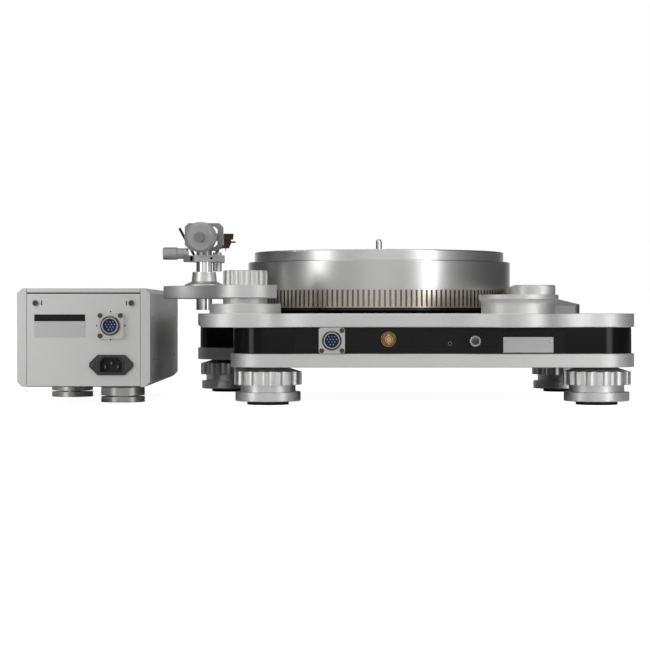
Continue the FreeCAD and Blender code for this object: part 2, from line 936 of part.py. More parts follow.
def make_rear_panel():
    """Flat panel in the frame's bay, bored for what sits on it."""
    body = new_body("rear_panel")
    middle = frame_bottom + size.frame_height / 2
    pad(body, "panel_sheet", "XZ_Plane", -panel_face, size.panel_thickness,
        lambda sketch: draw_box(sketch, size.panel_middle_x, middle,
                                size.panel_width - 2 * size.seat_gap,
                                size.frame_height - 2 * size.seat_gap))

    def bores(sketch):
        draw_circle(sketch, size.turntable_socket_x, size.turntable_socket_z,
                    size.barrel_radius + size.seat_gap)
        draw_circle(sketch, size.clock_x, size.clock_z, size.clock_barrel_radius + size.seat_gap)
        draw_circle(sketch, size.ground_x, size.ground_z, size.ground_stud_radius + size.seat_gap)
    pocket(body, "panel_bores", "XZ_Plane", -panel_face, size.panel_thickness * 2, bores, True)
    finish(place(body), "rear_panel")


SOCKETS = {
    "turntable": (size.turntable_socket_x, panel_face, size.turntable_socket_z),
    "supply": (supply_socket_x, size.supply_rear, size.supply_socket_z),
}
socket_tip = size.socket_flange_thickness + size.barrel_length
insert_face = socket_tip - size.insert_recess


def make_dc_sockets():
    """Square flange with a round barrel, one on the supply and one on the turntable."""
    shells = []
    inserts = []
    for name, (x, y, z) in SOCKETS.items():
        shell = new_body(f"{name}_socket")
        half = size.socket_flange / 2
        pad(shell, f"{name}_flange", "XY_Plane", 0, size.socket_flange_thickness,
            lambda sketch: draw_box(sketch, as_size(0), as_size(0), half * 2, half * 2))
        round_edges(shell, f"{name}_flange_corners", size.socket_corner,
                    lambda edge: abs(edge.BoundBox.ZLength - edge.Length) < CORNER)
        pad(shell, f"{name}_barrel", "XY_Plane", 0, socket_tip,
            lambda sketch: draw_circle(sketch, 0, 0, size.barrel_radius))
        round_edges(shell, f"{name}_barrel_rim", size.barrel_bevel,
                    rim_at(size.barrel_radius, socket_tip), "Chamfer")
        pad(shell, f"{name}_tail", "XY_Plane", 0, size.socket_tail,
            lambda sketch: draw_circle(sketch, 0, 0, size.barrel_radius), True)
        pocket(shell, f"{name}_bore", "XY_Plane", -size.socket_tail, socket_tip + size.socket_tail,
               lambda sketch: draw_circle(sketch, 0, 0, size.barrel_bore), True)
        shells.append(place(shell, x, y, z, *REARWARD))
        inserts.append(place(make_insert(name), x, y, z, *REARWARD))
    finish(group("dc_sockets", shells), "dc_sockets")
    finish(group("dc_inserts", inserts), "dc_inserts")


def make_insert(name):
    """Insulator with rows of three, four, three and two pins."""
    body = new_body(f"{name}_insert")
    pad(body, f"{name}_insulator", "XY_Plane", -size.socket_tail, insert_face + size.socket_tail,
        lambda sketch: draw_circle(sketch, 0, 0, size.barrel_bore - size.seat_gap))

    def pins(sketch):
        row_pitch = size.pin_pitch * sine(60)
        for row, count in enumerate((3, 4, 3, 2)):
            y = row_pitch * (1.5 - row)
            for step in range(count):
                x = size.pin_pitch * (step - (count - 1) / 2)
                draw_circle(sketch, x, y, size.pin_radius)
    pad(body, f"{name}_pins", "XY_Plane", insert_face - size.pin_length, size.pin_length * 2, pins)
    return body


def make_cap_screws():
    """Socket-head screws: three in each flange, two in the supply's rear panel, two at the inlet."""
    away = size.socket_screw_offset
    face = size.socket_flange_thickness
    spots = []
    for name, corners in (("turntable", ((-1, 1), (1, -1), (-1, -1))),
                          ("supply", ((1, 1), (-1, 1), (1, -1)))):
        x, y, z = SOCKETS[name]
        spots += [(x + away * side, y + face, z + away * rise, size.screw_head_radius)
                  for side, rise in corners]
    middle = supply_left + size.supply_width / 2
    spots += [(middle + size.supply_screw_x * side, size.supply_rear, size.supply_screw_z,
               size.supply_screw_radius) for side in (-1, 1)]
    spots += [(inlet_x + size.inlet_screw_pitch / 2 * side, size.supply_rear + size.inlet_flange,
               size.inlet_z, size.inlet_screw_radius) for side in (-1, 1)]
    screws = []
    for number, (x, y, z, radius) in enumerate(spots, start=1):
        body = new_body(f"cap_screw_{number}")
        turn(body, f"screw_head_{number}", [
            (0, 0), (radius, 0), (radius, size.screw_head_height),
            (size.screw_hex, size.screw_head_height),
            (size.screw_hex, size.screw_head_height - size.screw_hex_depth),
            (0, size.screw_head_height - size.screw_hex_depth),
        ])
        screws.append(place(body, x, y, z, *REARWARD))
    finish(group("cap_screws", screws), "cap_screws")


def make_clock_socket():
    """Bayonet socket: round nut, barrel with two lugs, hollow mouth and a centre pin."""
    body = new_body("clock_socket")
    nut = size.clock_nut_height
    tip = size.clock_barrel_length
    bevel = size.clock_bevel
    barrel = size.clock_barrel_radius
    turn(body, "clock_barrel", [
        (0, -size.panel_thickness), (barrel, -size.panel_thickness),
        (barrel, 0), (size.clock_nut_radius, 0), (size.clock_nut_radius, nut - bevel),
        (size.clock_nut_radius - bevel, nut), (barrel + bevel, nut), (barrel, nut - bevel),
        (barrel, tip - bevel / 2), (barrel - bevel / 2, tip),
        (size.clock_bore, tip), (size.clock_bore, nut), (size.clock_pin_radius, nut),
        (size.clock_pin_radius, tip - nut), (0, tip - nut),
    ])
    height = tip - nut

    def lugs(sketch):
        draw_circle(sketch, 0, height, size.clock_lug_radius)
    pad(body, "clock_lug_a", "XZ_Plane", size.clock_bore + size.running_gap,
        size.clock_lug_radius * 2, lugs)
    pad(body, "clock_lug_b", "XZ_Plane", -size.clock_bore - size.running_gap,
        size.clock_lug_radius * 2, lugs, True)
    finish(place(body, size.clock_x, panel_face, size.clock_z, *REARWARD), "clock_socket")


def make_ground_terminal():
    """Earth stud with a washer, and the knurled nut that clamps the earth wire."""
    post = new_body("ground_post")
    washer = size.ground_washer_height
    turn(post, "ground_stud", [
        (0, -size.panel_thickness), (size.ground_stud_radius, -size.panel_thickness),
        (size.ground_stud_radius, 0), (size.ground_washer_radius, 0),
        (size.ground_washer_radius, washer), (size.ground_stud_radius, washer),
        (size.ground_stud_radius, size.ground_stud_length), (0, size.ground_stud_length),
    ])
    finish(place(post, size.ground_x, panel_face, size.ground_z, *REARWARD), "ground_post")
    nut = new_body("ground_nut")
    low = washer + size.face_gap
    bore = size.ground_stud_radius + size.running_gap
    high = low + size.ground_nut_height
    rim = size.ground_nut_radius
    turn(nut, "ground_nut_ring", [
        (bore, low), (rim, low), (rim, high - size.ground_nut_bevel),
        (rim - size.ground_nut_bevel, high), (size.ground_dish_radius, high),
        (size.ground_dish_radius - size.ground_nut_bevel, high - size.ground_dish_depth),
        (bore, high - size.ground_dish_depth),
    ])
    notch = pocket(nut, "ground_notch", "XY_Plane", low, size.ground_nut_height,
                   lambda sketch: draw_circle(sketch, size.ground_nut_radius + size.pin_radius, 0,
                                              size.pin_radius * 2), True)
    polar(nut, "ground_notches", notch, size.ground_knurls)
    finish(place(nut, size.ground_x, panel_face, size.ground_z, *REARWARD), "ground_nut")


# Feet
def make_feet():
    """Disc, neck and stem of each foot; the stem is gripped by the lower plate."""
    feet = []
    pads = []
    stem_top = plate_bottom + size.stem_grip - size.seat_gap
    bevel = size.plate_chamfer
    for name, (x, y) in FEET.items():
        foot = new_body(f"foot_{name}")
        turn(foot, f"foot_{name}_turning", [
            (0, size.pad_height), (size.disc_radius - bevel, size.pad_height),
            (size.disc_radius, size.pad_height + bevel), (size.disc_radius, foot_disc_top - bevel),
            (size.disc_radius - bevel, foot_disc_top), (size.neck_radius, foot_disc_top),
            (size.neck_radius, neck_top), (size.stem_radius, neck_top),
            (size.stem_radius, stem_top), (0, stem_top),
        ])
        feet.append(place(foot, x, y))
        pads.append(place(cylinder(f"pad_{name}", size.pad_radius, size.pad_height), x, y))
    finish(group("feet", feet), "feet")
    finish(group("foot_pads", pads), "foot_pads")


def make_collars():
    """Scalloped collars that turn on the feet's stems to set the height."""
    bore = size.stem_radius + size.running_gap
    reach = size.collar_radius + size.flute_radius - size.flute_depth
    for name, (x, y) in FEET.items():
        body = new_body(f"collar_{name}")
        turn(body, f"collar_{name}_turning", [
            (bore, collar_bottom), (size.collar_radius, collar_bottom),
            (size.collar_radius, collar_shoulder), (size.collar_cone_radius, collar_top),
            (bore, collar_top),
        ])
        flute = pocket(body, f"collar_{name}_flute", "XY_Plane", collar_bottom,
                       size.collar_height + size.collar_cone_height,
                       lambda sketch: draw_circle(sketch, reach, 0, size.flute_radius), True)
        polar(body, f"collar_{name}_flutes", flute, size.collar_flutes)
        finish(place(body, x, y), f"collar_{name}")


# Main bearing
housing_bottom = plate_bottom + 2 * size.face_gap
flange_top = plinth_top + size.housing_flange_height
well_floor = housing_bottom + size.housing_floor
thrust_face = well_floor + size.thrust_seat_height
shaft_end = thrust_face + size.face_gap
upper_magnet = flange_top + size.magnet_height + size.magnet_gap
hub_bottom = upper_magnet + size.magnet_height
shaft_top = size.web_bottom + size.shaft_entry


def make_bearing():
    """Housing with a thrust seat in its floor, its bush, and the shaft that turns in them."""
    housing = new_body("bearing_housing")
    turn(housing, "housing_turning", [
        (0, housing_bottom), (size.housing_radius, housing_bottom),
        (size.housing_radius, plinth_top), (size.housing_flange_radius, plinth_top),
        (size.housing_flange_radius, flange_top), (size.housing_neck_radius, flange_top),
        (size.housing_neck_radius, size.bearing_top), (size.bush_radius, size.bearing_top),
        (size.bush_radius, well_floor), (size.thrust_seat_radius, well_floor),
        (size.thrust_seat_radius, thrust_face), (0, thrust_face),
    ])
    finish(place(housing), "bearing_housing")
    bush = new_body("bearing_bush")
    bush_bottom = shaft_end + size.shaft_nose
    bore = size.shaft_radius + size.running_gap
    turn(bush, "bush_turning", [
        (bore, bush_bottom), (size.bush_radius, bush_bottom),
        (size.bush_radius, size.bearing_top), (bore, size.bearing_top),
    ])
    finish(place(bush), "bearing_bush")
    shaft = new_body("bearing_shaft")
    turn(shaft, "shaft_turning", [
        (0, shaft_end, size.ball_radius), (size.ball_radius, shaft_end + size.ball_radius),
        (size.shaft_radius, bush_bottom),
        (size.shaft_radius, shaft_top), (0, shaft_top),
    ])
    finish(place(shaft), "bearing_shaft")


def make_magnet_disc(label, bottom):
    body = new_body(label)
    top = bottom + size.magnet_height
    turn(body, label + "_turning", [
        (size.magnet_inner, bottom), (size.magnet_outer, bottom),
        (size.magnet_outer, top), (size.magnet_inner, top),
    ])
    finish(place(body), label)


def make_hub():
    """Hub pressed on the shaft; the drum rests on its flange and the upper magnet hangs below."""
    body = new_body("platter_hub")
    flange = size.web_bottom - size.hub_flange
    turn(body, "hub_turning", [
        (size.shaft_radius, hub_bottom), (size.hub_boss_radius, hub_bottom),
        (size.hub_boss_radius, flange), (size.hub_radius, flange),
        (size.hub_radius, size.web_bottom), (size.shaft_radius, size.web_bottom),
    ])
    finish(place(body), "platter_hub")


def make_base_disc():
    """Black disc under the platter; its raised middle closes the view beneath the ring."""
    body = new_body("base_disc")
    top = plinth_top + size.base_disc_height
    step_top = plinth_top + size.base_step_height
    inner = size.housing_flange_radius + size.seat_gap
    turn(body, "base_disc_turning", [
        (inner, plinth_top), (size.base_disc_radius, plinth_top), (size.base_disc_radius, top),
        (size.base_step_radius, top), (size.base_step_radius, step_top), (inner, step_top),
    ])
    finish(place(body), "base_disc")


# Platter
label_floor = size.platter_top - size.label_depth


def make_magnet_ring():
    """Ring under the drum: a plain lip below, and above it evenly spaced upright ribs."""
    body = new_body("magnet_ring")
    turn(body, "ring_turning", [
        (size.drum_inner, size.lip_bottom), (size.lip_radius, size.lip_bottom),
        (size.lip_radius, size.ring_bottom), (size.ring_radius, size.ring_bottom),
        (size.ring_radius, size.drum_bottom), (size.drum_inner, size.drum_bottom),
    ])
    middle = size.ring_radius - size.rib_depth / 2 + size.rib_gap / 2
    slot = pocket(body, "rib_slot", "XY_Plane", size.ring_bottom + size.rib_end,
                  size.drum_bottom - size.ring_bottom - 2 * size.rib_end,
                  lambda sketch: draw_box(sketch, middle, as_size(0),
                                          size.rib_depth + size.rib_gap, size.rib_gap), True)
    polar(body, "rib_slots", slot, size.rib_count)
    finish(place(body), "magnet_ring")


def make_platter_drum():
    """Lower tier: a heavy rim on a web, hollow underneath."""
    body = new_body("platter_drum")
    turn(body, "drum_turning", [
        (size.shaft_radius, size.web_bottom), (size.drum_inner, size.web_bottom),
        (size.drum_inner, size.drum_bottom), (size.drum_radius, size.drum_bottom),
        (size.drum_radius, size.drum_top), (size.shaft_radius, size.drum_top),
    ])
    round_edges(body, "drum_rim", size.rim_round, rim_at(size.drum_radius, size.drum_top))
    finish(place(body), "platter_drum")


def make_platter_top():
    """Upper tier of record size, with a shallow recess for the record's label."""
    body = new_body("platter_top")
    bore = size.spindle_root_radius + size.seat_gap
    turn(body, "top_turning", [
        (bore, size.drum_top), (size.top_radius, size.drum_top),
        (size.top_radius, size.platter_top), (size.label_radius, size.platter_top),
        (size.label_radius, label_floor), (bore, label_floor),
    ])
    round_edges(body, "top_rim", size.rim_round, rim_at(size.top_radius, size.platter_top))
    finish(place(body), "platter_top")


def make_spindle():
    """Record spindle: a slim root in the platter, a collar in the label recess, and the pin."""
    body = new_body("spindle")
    root, collar, pin = size.spindle_root_radius, size.spindle_collar_radius, size.spindle_radius
    turn(body, "spindle_turning", [
        (0, shaft_top), (root, shaft_top), (root, label_floor), (collar, label_floor),
        (collar, size.platter_top), (pin, size.platter_top), (pin, size.spindle_top),
        (0, size.spindle_top),
    ])
    round_edges(body, "spindle_tip", size.spindle_radius * 0.9,
                rim_at(size.spindle_radius, size.spindle_top))
    finish(place(body), "spindle")


# Drive
tower_top = plinth_top + size.tower_height
head_bottom = tower_top + size.face_gap
head_top = head_bottom + size.head_height
tower_to_wheel_x = size.wheel_x - size.tower_x
tower_to_wheel_y = size.wheel_y - size.tower_y
wheel_top = size.wheel_bottom + size.wheel_height
motor_top = head_top - size.head_skin


def make_drive_tower():
    """Flared pedestal with a pivot bore for the head."""
    body = new_body("drive_tower")
    rim_bottom = tower_top - size.tower_rim_height
    cove_bottom = rim_bottom - size.cove_height
    bore = size.pivot_radius + size.running_gap
    bore_floor = tower_top - size.pivot_depth - size.face_gap
    turn(body, "tower_turning", [
        (0, plinth_top), (size.tower_radius, plinth_top),
        (size.tower_radius, cove_bottom, -size.cove_radius),
        (size.tower_rim_radius, rim_bottom), (size.tower_rim_radius, tower_top),
        (bore, tower_top), (bore, bore_floor), (0, bore_floor),
    ])
    finish(place(body, size.tower_x, size.tower_y), "drive_tower")


def make_drive_head():
    """Long cover from the tower to the magnet ring, with the motor's bay at its far end."""
    body = new_body("drive_head")
    inner = size.head_inner_offset
    outer = inner - size.head_width
    corner = size.head_corner
    rear = size.head_rear
    end = size.head_end_radius

    def outline(sketch):
        draw_corners(sketch, [
            (inner, rear - corner, corner), (inner - corner, rear),
            (outer + corner, rear, corner), (outer, rear - corner),
            (tower_to_wheel_x - end, tower_to_wheel_y, end),
            (tower_to_wheel_x, tower_to_wheel_y - end, end),
            (tower_to_wheel_x + end, tower_to_wheel_y),
        ])
    pad(body, "head_slab", "XY_Plane", head_bottom, size.head_height, outline)
    round_edges(body, "head_edges", size.head_edge, level_edges(head_top))
    pad(body, "head_pivot", "XY_Plane", head_bottom, size.pivot_depth,
        lambda sketch: draw_circle(sketch, 0, 0, size.pivot_radius), True)
    pocket(body, "motor_bay", "XY_Plane", head_bottom, size.head_height - size.head_skin,
           lambda sketch: draw_circle(sketch, tower_to_wheel_x, tower_to_wheel_y,
                                      size.motor_radius + size.seat_gap), True)
    finish(place(body, size.tower_x, size.tower_y), "drive_head")


def make_drive_motor():
    """Flat motor in the head's bay, bored for the wheel's shaft."""
    body = new_body("drive_motor")
    bore = size.motor_shaft_radius + size.running_gap
    low = wheel_top + size.face_gap * 2
    turn(body, "motor_turning", [
        (bore, low), (size.motor_radius, low), (size.motor_radius, motor_top), (bore, motor_top),
    ])
    finish(place(body, size.wheel_x, size.wheel_y), "drive_motor")


def make_drive_wheel():
    """Magnet wheel with upright slots between its poles, and the shaft it turns on."""
    body = new_body("drive_wheel")
    shaft_tip = motor_top - size.face_gap
    turn(body, "wheel_turning", [
        (0, size.wheel_bottom), (size.wheel_radius, size.wheel_bottom),
        (size.wheel_radius, wheel_top), (size.motor_shaft_radius, wheel_top),
        (size.motor_shaft_radius, shaft_tip), (0, shaft_tip),
    ])
    slot = pocket(body, "pole_slot", "XY_Plane", size.wheel_bottom, size.wheel_height,
                  lambda sketch: draw_box(sketch, size.wheel_radius, as_size(0),
                                          size.rib_depth, size.rib_gap / 2), True)
    polar(body, "pole_slots", slot, size.wheel_slots)
    finish(place(body, size.wheel_x, size.wheel_y), "drive_wheel")


# Control unit
def on_slope(along, across, above):
    """Place of a point on the control unit's sloping top, from the slope's middle."""
    middle_height = size.control_outer_height + size.control_width / 2 * tangent(size.control_slope)
    x = size.control_x + across * cosine(size.control_slope) - above * sine(size.control_slope)
    z = plinth_top + middle_height + across * sine(size.control_slope) + above * cosine(size.control_slope)
    return x, size.control_y + along, z


def seat_on_slope(thing, along, across, above):
    x, y, z = on_slope(along, across, above)
    return place(thing, x, y, z, (0, 1, 0), -size.control_slope)


def make_control_unit():
    """Low housing whose top falls away outwards, cut for the display and two buttons."""
    body = new_body("control_housing")
    width, length = size.control_width, size.control_length
    pad(body, "control_block", "XY_Plane", 0, size.control_height,
        lambda sketch: draw_box(sketch, as_size(0), as_size(0), width, length))
    round_edges(body, "control_corners", size.control_corner,
                lambda edge: abs(edge.BoundBox.ZLength - edge.Length) < CORNER)
    low = size.control_outer_height
    rise = width * tangent(size.control_slope)

    def slope(sketch):
        left, right = -width / 2, width / 2
        draw_corners(sketch, [(left, low), (right, low + rise), (right, low + rise + width),
                              (left, low + rise + width)])
    pocket(body, "control_top", "XZ_Plane", -length, length * 2, slope, True)

    def rear_bevel(sketch):
        back = length / 2
        start = size.control_rear_height
        tall = size.control_height * 2
        draw_corners(sketch, [(back, start), (back, tall), (back - (tall - start), tall)])
    pocket(body, "control_rear", "YZ_Plane", -width, width * 2, rear_bevel, True)
    place(body, size.control_x, size.control_y, plinth_top)

    window = block("display_window", -size.window_width / 2, -size.window_length / 2, as_size(0),
                   size.window_width, size.window_length, size.window_height)
    window_seat = -(size.window_height - size.window_proud)
    window_body = group("window_place", [window])
    shift = size.button_pitch / 2
    finish(seat_on_slope(window_body, shift, as_size(0), window_seat), "display_window")

    bay = block("window_bay", -size.window_width / 2 - size.seat_gap,
                -size.window_length / 2 - size.seat_gap, as_size(0),
                size.window_width + 2 * size.seat_gap, size.window_length + 2 * size.seat_gap,
                size.window_height * 4)
    tools = [seat_on_slope(group("window_bay_place", [bay]), shift, as_size(0), window_seat)]
    buttons_y = shift - size.window_length / 2 - size.button_radius - size.button_pitch / 6
    for name, side in (("button_start", -1), ("button_speed", 1)):
        across = size.button_pitch / 2 * side
        down = size.button_proud - size.button_depth
        cap = cylinder(f"{name}_cap", size.button_radius, size.button_depth)
        finish(seat_on_slope(group(f"{name}_place", [cap]), buttons_y, across, down), name)
        well = cylinder(f"{name}_well", size.button_radius + size.running_gap * 2, size.button_depth * 3)
        travel = down - size.button_proud
        tools.append(seat_on_slope(group(f"{name}_well_place", [well]), buttons_y, across, travel))
    housing = cut("control_shell", body, fuse("control_tools", tools))
    finish(housing, "control_housing")


# Arm tower and armboard
def make_arm_tower():
    """Base disc and neck with the stud that the armboard turns on."""
    body = new_body("arm_tower")
    disc_top = plinth_top + size.arm_tower_height
    neck = disc_top + size.arm_neck_height
    stud_top = board_top + size.knob_height - size.knob_cap - size.face_gap
    turn(body, "arm_tower_turning", [
        (0, plinth_top), (size.arm_tower_radius, plinth_top), (size.arm_tower_radius, disc_top),
        (size.arm_neck_radius, disc_top), (size.arm_neck_radius, neck),
        (size.arm_stud_radius, neck), (size.arm_stud_radius, stud_top), (0, stud_top),
    ])
    round_edges(body, "arm_tower_edge", size.plate_chamfer,
                rim_at(size.arm_tower_radius, disc_top), "Chamfer")
    finish(place(body, size.arm_tower_x, size.arm_tower_y), "arm_tower")


def make_armboard():
    """Board of two round lobes with a drawn-in waist, bored for the stud and the pillar."""
    body = new_body("armboard")
    x = size.pillar_x - size.arm_tower_x
    y = size.pillar_y - size.arm_tower_y
    waist = ("waist", size.board_waist_radius)
    zero = Size(0, "0")
    links = [(zero, zero, size.board_tower_radius, waist), (x, y, size.board_pillar_radius, waist)]
    pad(body, "board_slab", "XY_Plane", board_bottom, size.board_thickness,
        lambda sketch: tangent_chain(sketch, links))
    round_edges(body, "board_edges", size.plate_chamfer,
                level_edges(board_bottom, board_top), "Chamfer")

    def bores(sketch):
        draw_circle(sketch, 0, 0, size.arm_stud_radius + size.running_gap)
        draw_circle(sketch, x, y, size.pillar_radius + size.running_gap)
    pocket(body, "board_bores", "XY_Plane", board_bottom, size.board_thickness, bores, True)
    finish(place(body, size.arm_tower_x, size.arm_tower_y), "armboard")


def make_lock_knob():
    """Scalloped nut on the stud that clamps the armboard."""
    body = new_body("lock_knob")
    low = board_top + size.face_gap
    high = low + size.knob_height
    bore = size.arm_stud_radius + size.running_gap
    roof = high - size.knob_cap
    turn(body, "knob_turning", [
        (bore, low), (size.knob_radius, low), (size.knob_radius, high), (0, high), (0, roof), (bore, roof),
    ])
    round_edges(body, "knob_edge", size.knob_round, rim_at(size.knob_radius, high))
    reach = size.knob_radius + size.knob_flute_radius - size.knob_flute_depth
    flute = pocket(body, "knob_flute", "XY_Plane", low, size.knob_height,
                   lambda sketch: draw_circle(sketch, reach, 0, size.knob_flute_radius), True)
    polar(body, "knob_flutes", flute, size.knob_flutes)
    finish(place(body, size.arm_tower_x, size.arm_tower_y), "lock_knob")


def make_arm_base():
    """Dished flange and tapered collar that guide the pillar."""
    body = new_body("arm_base")
    bore = size.pillar_radius + size.running_gap
    rim = board_top + size.base_flange_rim
    shoulder = board_top + size.base_flange_height
    top = shoulder + size.base_cone_height
    turn(body, "arm_base_turning", [
        (bore, board_top), (size.base_flange_radius, board_top), (size.base_flange_radius, rim),
        (size.base_cone_bottom, shoulder), (size.base_cone_top, top), (bore, top),
    ])
    finish(place(body, size.pillar_x, size.pillar_y), "arm_base")


# Tonearm pillar and what it carries
clamp_top = size.clamp_bottom + size.clamp_thickness
yoke_bottom = size.pivot_height - size.yoke_height / 2
hub_low = clamp_top + size.face_gap * 2
skate_y = -size.skate_reach
lifter_y = -size.lifter_reach
rest_y = -size.rest_reach


def make_pillar():
    """Polished pillar that slides in the base; its top is bored for the yoke's pin."""
    body = new_body("pillar")
    bore = size.yaw_pin_radius + size.running_gap
    floor = clamp_top - size.yaw_pin_depth - size.face_gap
    turn(body, "pillar_turning", [
        (0, size.pillar_bottom), (size.pillar_radius, size.pillar_bottom),
        (size.pillar_radius, clamp_top), (bore, clamp_top), (bore, floor), (0, floor),
    ])
    finish(place(body, size.pillar_x, size.pillar_y), "pillar")


def make_clamp_plate():
    """Split clamp on the pillar; its front arm carries the lifter, the arm rest and a lug."""
    body = new_body("clamp_body")
    half, facet = size.clamp_half_width, size.clamp_half_facet
    inner, outer = -size.clamp_arm_inner, size.clamp_arm_outer
    reach = -size.clamp_arm_reach

    def outline(sketch):
        draw_corners(sketch, [
            (outer, reach), (outer, -half), (half, -facet), (half, facet), (facet, half),
            (-facet, half), (-half, facet), (-half, -facet), (inner, -half), (inner, reach),
        ])
    pad(body, "clamp_slab", "XY_Plane", size.clamp_bottom, size.clamp_thickness, outline)

    def bores(sketch):
        draw_circle(sketch, 0, 0, size.pillar_radius)
        draw_circle(sketch, -size.lifter_offset, lifter_y, size.lifter_radius + size.seat_gap)
    pocket(body, "clamp_bores", "XY_Plane", size.clamp_bottom, size.clamp_thickness, bores, True)
    pocket(body, "clamp_slit", "XY_Plane", size.clamp_bottom, size.clamp_thickness,
           lambda sketch: draw_box(sketch, size.clamp_slit_offset, half - size.clamp_slit_depth / 2,
                                   size.clamp_slit, size.clamp_slit_depth), True)
    middle = size.clamp_bottom + size.clamp_thickness / 2
    pocket(body, "clamp_set_screw", "XZ_Plane", -half, size.clamp_screw_depth,
           lambda sketch: draw_circle(sketch, -size.clamp_screw_offset, middle,
                                      size.clamp_screw_radius), True)
    pocket(body, "cue_shaft_bore", "YZ_Plane", outer - size.cue_shaft_length, size.cue_shaft_length * 2,
           lambda sketch: draw_circle(sketch, lifter_y, middle,
                                      size.cue_shaft_radius + size.running_gap), True)
    pad(body, "skate_ear", "YZ_Plane", size.skate_ear_start, size.skate_ear_length,
        lambda sketch: draw_circle(sketch, skate_y, size.skate_height, size.skate_stem_radius))
    pocket(body, "skate_bore", "YZ_Plane", size.skate_ear_start, size.skate_ear_length * 2,
           lambda sketch: draw_circle(sketch, skate_y, size.skate_height,
                                      size.skate_shaft_radius + size.running_gap), True)
    fork_low = size.rest_floor - size.rest_fork_base
    pad(body, "rest_post", "XY_Plane", size.clamp_bottom, fork_low + size.root_lap - size.clamp_bottom,
        lambda sketch: draw_circle(sketch, 0, rest_y, size.rest_post_radius))

    def fork(sketch):
        side, slot = size.rest_width / 2, size.rest_slot / 2
        top = fork_low + size.rest_fork_height
        low_top = size.rest_floor + size.rest_low_wall
        draw_corners(sketch, [
            (-side, fork_low), (side, fork_low), (side, top), (slot, top),
            (slot, size.rest_floor), (-slot, size.rest_floor), (-slot, low_top), (-side, low_top),
        ])
    pad(body, "rest_fork", "XZ_Plane", -rest_y - size.rest_depth / 2, size.rest_depth, fork)
    finish(place(body, size.pillar_x, size.pillar_y), "clamp_plate")


def make_lifter():
    """Lift cylinder in the clamp's arm, and its plunger with the bar under the tube."""
    body = new_body("lifter_cylinder")
    bore = size.plunger_radius + size.running_gap
    seat = size.lifter_top + size.lift_bar_seat
    floor = seat - size.plunger_length - size.face_gap
    turn(body, "lifter_turning", [
        (0, size.lifter_bottom), (size.lifter_radius, size.lifter_bottom),
        (size.lifter_radius, size.lifter_top), (bore, size.lifter_top), (bore, floor), (0, floor),
    ])
    x = size.pillar_x - size.lifter_offset
    y = size.pillar_y + lifter_y
    finish(place(body, x, y), "lifter_cylinder")
    plunger = new_body("lifter_bar")
    pad(plunger, "plunger", "XY_Plane", seat - size.plunger_length, size.plunger_length + size.root_lap,
        lambda sketch: draw_circle(sketch, 0, 0, size.plunger_radius))
    pad(plunger, "lift_bar", "XY_Plane", seat, size.lift_bar_height,
        lambda sketch: draw_box(sketch, size.lift_bar_length / 2 - size.plunger_radius * 2, as_size(0),
                                size.lift_bar_length, size.lift_bar_width))
    finish(place(plunger, x, y), "lifter_bar")


def make_cue_lever():
    """Cross shaft with a hub and a slim lever that leans outwards."""
    hub_start = size.clamp_arm_outer + size.face_gap
    shaft = cylinder("cue_shaft", size.cue_shaft_radius, size.cue_shaft_length + size.face_gap * 2,
                     hub_start - size.cue_shaft_length, 0, 0, "x")
    hub = cylinder("cue_hub", size.cue_hub_radius, size.cue_hub_length, hub_start, 0, 0, "x")
    rod = cylinder("cue_rod", size.cue_lever_radius, size.cue_lever_length)
    rod.Placement = Placement(Vector(), Rotation(Vector(0, 1, 0), size.cue_lean.value))
    bind(rod, "Placement.Base.x", hub_start + size.cue_hub_length / 2)
    bind(rod, "Placement.Rotation.Angle", size.cue_lean)
    lever = fuse("cue_lever_solid", [shaft, hub, rod])
    middle = size.clamp_bottom + size.clamp_thickness / 2
    finish(place(lever, size.pillar_x, size.pillar_y + lifter_y, middle), "cue_lever")


def make_antiskate_knob():
    """Stepped knob with a grooved grip; its shaft turns in the clamp's lug."""
    body = new_body("antiskate_knob")
    stem_end = size.skate_stem_length
    end = stem_end + size.skate_knob_length
    turn(body, "skate_turning", [
        (0, -size.skate_shaft_length), (size.skate_shaft_radius, -size.skate_shaft_length),
        (size.skate_shaft_radius, 0), (size.skate_stem_radius, 0), (size.skate_stem_radius, stem_end),
        (size.skate_knob_radius, stem_end + size.plate_chamfer),
        (size.skate_knob_radius, end - size.plate_chamfer),
        (size.skate_knob_radius - size.plate_chamfer, end), (0, end),
    ])
    groove = pocket(body, "skate_groove", "XY_Plane", stem_end + size.plate_chamfer * 2,
                    size.skate_knob_length, lambda sketch: draw_box(
                        sketch, size.skate_knob_radius, as_size(0), size.pin_radius * 1.5,
                        size.pin_radius * 1.5), True)
    polar(body, "skate_grooves", groove, size.skate_knurls)
    x = size.pillar_x + size.skate_ear_start + size.skate_ear_length + size.face_gap
    finish(place(body, x, size.pillar_y + skate_y, size.skate_height, (0, 1, 0), 90), "antiskate_knob")


